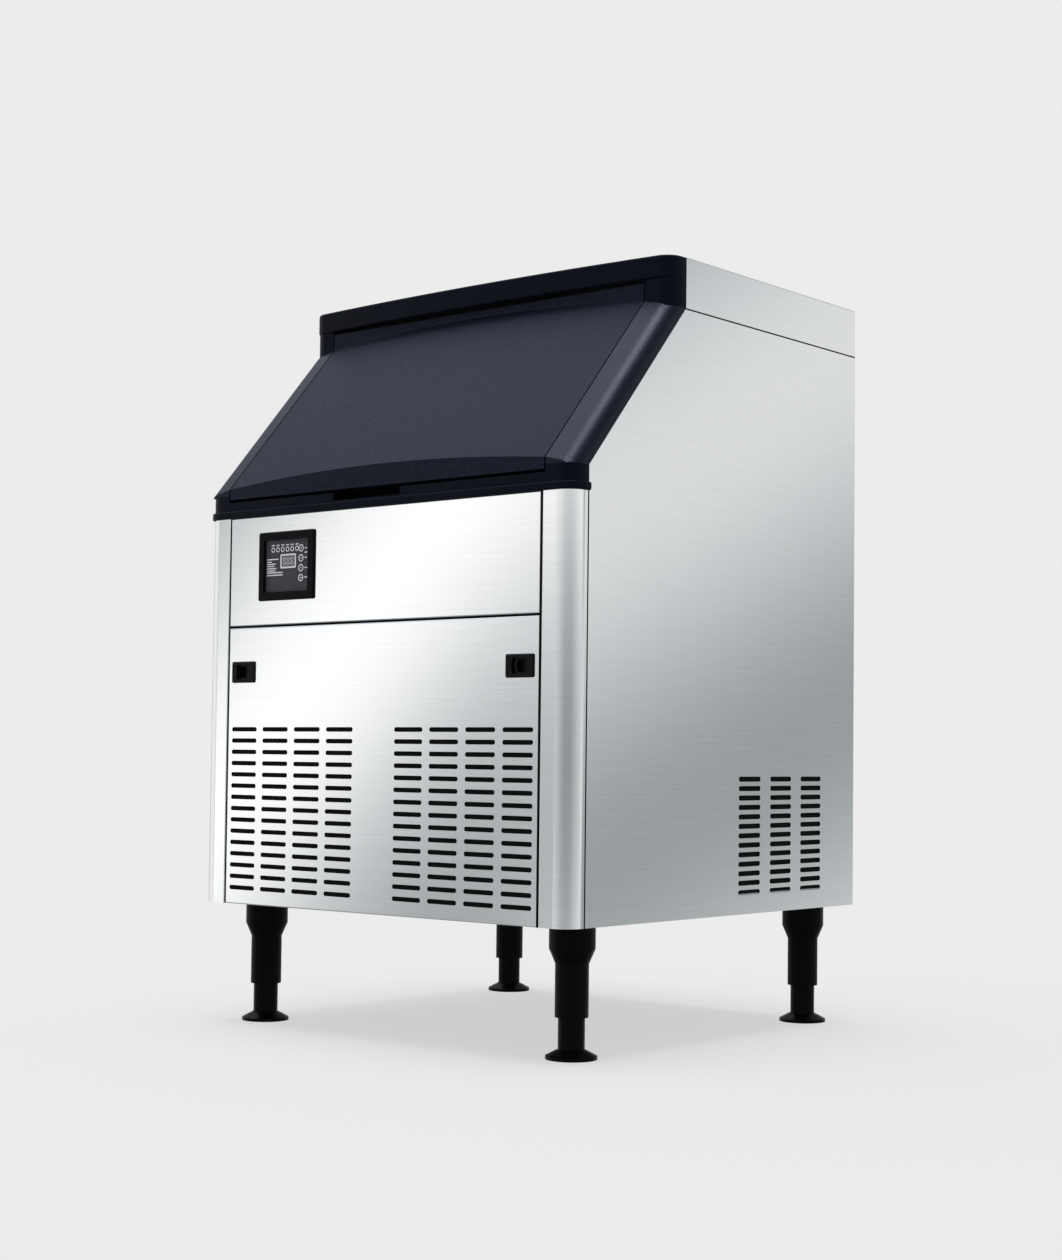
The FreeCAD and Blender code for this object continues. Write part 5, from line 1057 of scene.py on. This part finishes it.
@dataclass(frozen=True)
class FrontGlow:
    """Slanting bright streak that the front panels mirror."""

    low: float = -147.0
    high: float = -112.0
    soft: float = 4.5
    slope: float = -0.714
    start: float = 136.97
    left_width: float = 4.46
    right_width: float = 3.59
    joint: float = 0.5
    peak: float = 1.11
    base: float = 0.342

    def mask(self, ray: Ray) -> Socket:
        """Directions that the streak takes up."""
        return ray.window(self.low, self.high, self.soft)

    def level(self, ray: Ray) -> Socket:
        """Strength of the light.

        Args:
            ray: Direction that it comes from.

        Returns:
            The strength.
        """
        graph = ray.graph
        offset = graph.plus(graph.line(ray.rise, self.slope, ray.turn), self.start)
        width = graph.spread(offset, -self.joint, self.joint, 1.0 / self.left_width, 1.0 / self.right_width)
        band = graph.times(offset, width)
        hump = graph.math("EXPONENT", graph.times(graph.times(band, band), -1.0))
        return graph.line(hump, self.peak, self.base)


@dataclass(frozen=True)
class SideBands:
    """Slanting light and dark bands that a side of the cabinet mirrors."""

    slope: float
    start: float
    low: float
    high: float
    soft: float = 9.0
    length: float = 19.5
    swing: float = 0.27
    base: float = 0.60

    def mask(self, ray: Ray) -> Socket:
        """Directions that the bands take up."""
        return ray.window(self.low, self.high, self.soft)

    def level(self, ray: Ray) -> Socket:
        """Strength of the light.

        Args:
            ray: Direction that it comes from.

        Returns:
            The strength.
        """
        graph = ray.graph
        along = graph.plus(graph.line(ray.turn, self.slope, ray.rise), self.start)
        wave = graph.math("COSINE", graph.times(along, 2 * math.pi / self.length))
        return graph.line(wave, self.swing, self.base)


@dataclass(frozen=True)
class CornerShade:
    """Dark hollow that the round columns mirror, paler towards its rim."""

    left_end: Ramp = (-131.0, -127.8, 0.0, 1.0)
    right_end: Ramp = (22.0, 44.0, 1.0, 0.0)
    hollow_rise: float = 0.6
    hollow_curve: float = 0.0069
    hollow_base: float = 0.297
    rim_turn: float = 50.0
    rim: Ramp = (8.0, 78.0, 0.0, 0.297)
    most: float = 1.0

    def mask(self, ray: Ray) -> Socket:
        """Directions that the hollow takes up."""
        graph = ray.graph
        return graph.times(graph.spread(ray.turn, *self.left_end), graph.spread(ray.turn, *self.right_end))

    def level(self, ray: Ray) -> Socket:
        """Strength of the light.

        Args:
            ray: Direction that it comes from.

        Returns:
            The strength.
        """
        graph = ray.graph
        height = graph.plus(ray.rise, self.hollow_rise)
        hollow = graph.line(graph.times(height, height), self.hollow_curve, self.hollow_base)
        rim = graph.spread(graph.math("ABSOLUTE", graph.plus(ray.turn, self.rim_turn)), *self.rim)
        return graph.math("MINIMUM", graph.plus(hollow, rim), self.most)


@dataclass(frozen=True)
class Sky:
    """Studio sky: pale overhead, soft bands near the horizon, and a plain backdrop for the camera."""

    backdrop: Colour = srgb(236, 236, 236)
    above: OpenSky = OpenSky()
    bands: tuple[Union[FrontGlow, SideBands, CornerShade], ...] = (
        FrontGlow(), SideBands(-0.63, 25.98, 34.0, 82.0), SideBands(0.63, -87.42, 98.0, 172.0),
        CornerShade())
    horizon: float = 0.95
    near_top: Ramp = (14.0, 30.0, 1.0, 0.0)
    near_bottom: Ramp = (-30.0, -14.0, 0.0, 1.0)
    below: Ramp = (-22.0, -9.0, 0.80, 1.0)
    dim_tint: Colour = (0.925, 0.985, 1.0)
    dim_end: Ramp = (0.35, 1.0, 0.0, 1.0)
    high_tint: Colour = (0.80, 0.885, 1.0)
    high_start: Ramp = (26.0, 40.0, 0.0, 1.0)
    overhead_tint: Colour = (1.0, 0.98, 0.94)
    overhead_start: Ramp = (68.0, 76.0, 0.0, 1.0)

    def build(self) -> None:
        """Makes the world."""
        world = bpy.data.worlds.new("studio")
        bpy.context.scene.world = world
        world.use_nodes = True
        graph = Graph(world.node_tree)
        ray = Ray(graph)
        level = self.level(ray)
        light = graph.add("ShaderNodeBackground", {"Color": self.tint(ray, level), "Strength": level})
        plain = graph.add("ShaderNodeBackground", {"Color": graph.tone(self.backdrop), "Strength": 1.0})
        seen = graph.add("ShaderNodeLightPath").outputs["Is Camera Ray"]
        mixed = graph.add("ShaderNodeMixShader", {0: seen, 1: light.outputs[0], 2: plain.outputs[0]})
        graph.output("ShaderNodeOutputWorld", mixed)

    def level(self, ray: Ray) -> Socket:
        """Strength of the light.

        Args:
            ray: Direction that it comes from.

        Returns:
            The strength.
        """
        graph = ray.graph
        near = graph.times(graph.spread(ray.rise, *self.near_top),
                           graph.spread(ray.rise, *self.near_bottom))
        level = graph.lay(self.above.level(ray), near, self.horizon)
        for band in self.bands:
            level = graph.lay(level, graph.times(band.mask(ray), near), band.level(ray))
        return graph.times(level, graph.spread(ray.rise, *self.below))

    def tint(self, ray: Ray, level: Socket) -> Socket:
        """Colour of the light.

        Args:
            ray: Direction that it comes from.
            level: Its strength.

        Returns:
            The colour.
        """
        graph = ray.graph
        tint = graph.blend(graph.spread(level, *self.dim_end), self.dim_tint, WHITE)
        tint = graph.blend(graph.spread(ray.rise, *self.high_start), tint, self.high_tint)
        return graph.blend(graph.spread(ray.rise, *self.overhead_start), tint, self.overhead_tint)


@dataclass(frozen=True)
class Camera:
    """Camera at the photo's place. Angles are in degrees, lens and sensor in millimetres."""

    place: tuple[float, float, float] = (1.8603, -2.2424, 0.3645)
    yaw: float = 39.89
    pitch: float = 2.48
    roll: float = 0.65
    lens: float = 60.27
    sensor: float = 36.0
    lift: float = 0.0261
    reach: float = 200.0

    def build(self) -> bpy.types.Object:
        """Adds the camera.

        Returns:
            The camera.
        """
        data = bpy.data.cameras.new("camera")
        data.sensor_fit = "AUTO"
        data.sensor_width = self.sensor
        data.lens = self.lens
        data.shift_y = self.lift
        data.clip_end = self.reach
        camera = bpy.data.objects.new("camera", data)
        turn = Matrix.Rotation(math.radians(self.yaw), 4, "Z")
        tip = Matrix.Rotation(math.radians(QUARTER_TURN + self.pitch), 4, "X")
        roll = Matrix.Rotation(math.radians(self.roll), 4, "Z")
        camera.matrix_world = Matrix.Translation(self.place) @ turn @ tip @ roll
        bpy.context.scene.collection.objects.link(camera)
        bpy.context.scene.camera = camera
        return camera


@dataclass(frozen=True)
class Studio:
    """Floor, sky and camera."""

    floor: Floor = Floor()
    sky: Sky = Sky()
    camera: Camera = Camera()

    def build(self) -> Pieces:
        """Sets the studio up.

        Returns:
            The floor and the camera.
        """
        self.sky.build()
        view = bpy.context.scene.view_settings
        view.view_transform = "Standard"
        return [self.floor.build(), self.camera.build()]


def main() -> None:
    """Builds the sub-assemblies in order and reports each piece."""
    logging.basicConfig(level=logging.INFO)
    for assembly in (CadFinishes(), AirFilters(), SeamShadeStrips(), DoorGapShades(), ControlPanel(), Studio()):
        for item in assembly.build():
            LOG.info("%s: %s", type(assembly).__name__, item.name)


if __name__ == "__main__":
    main()
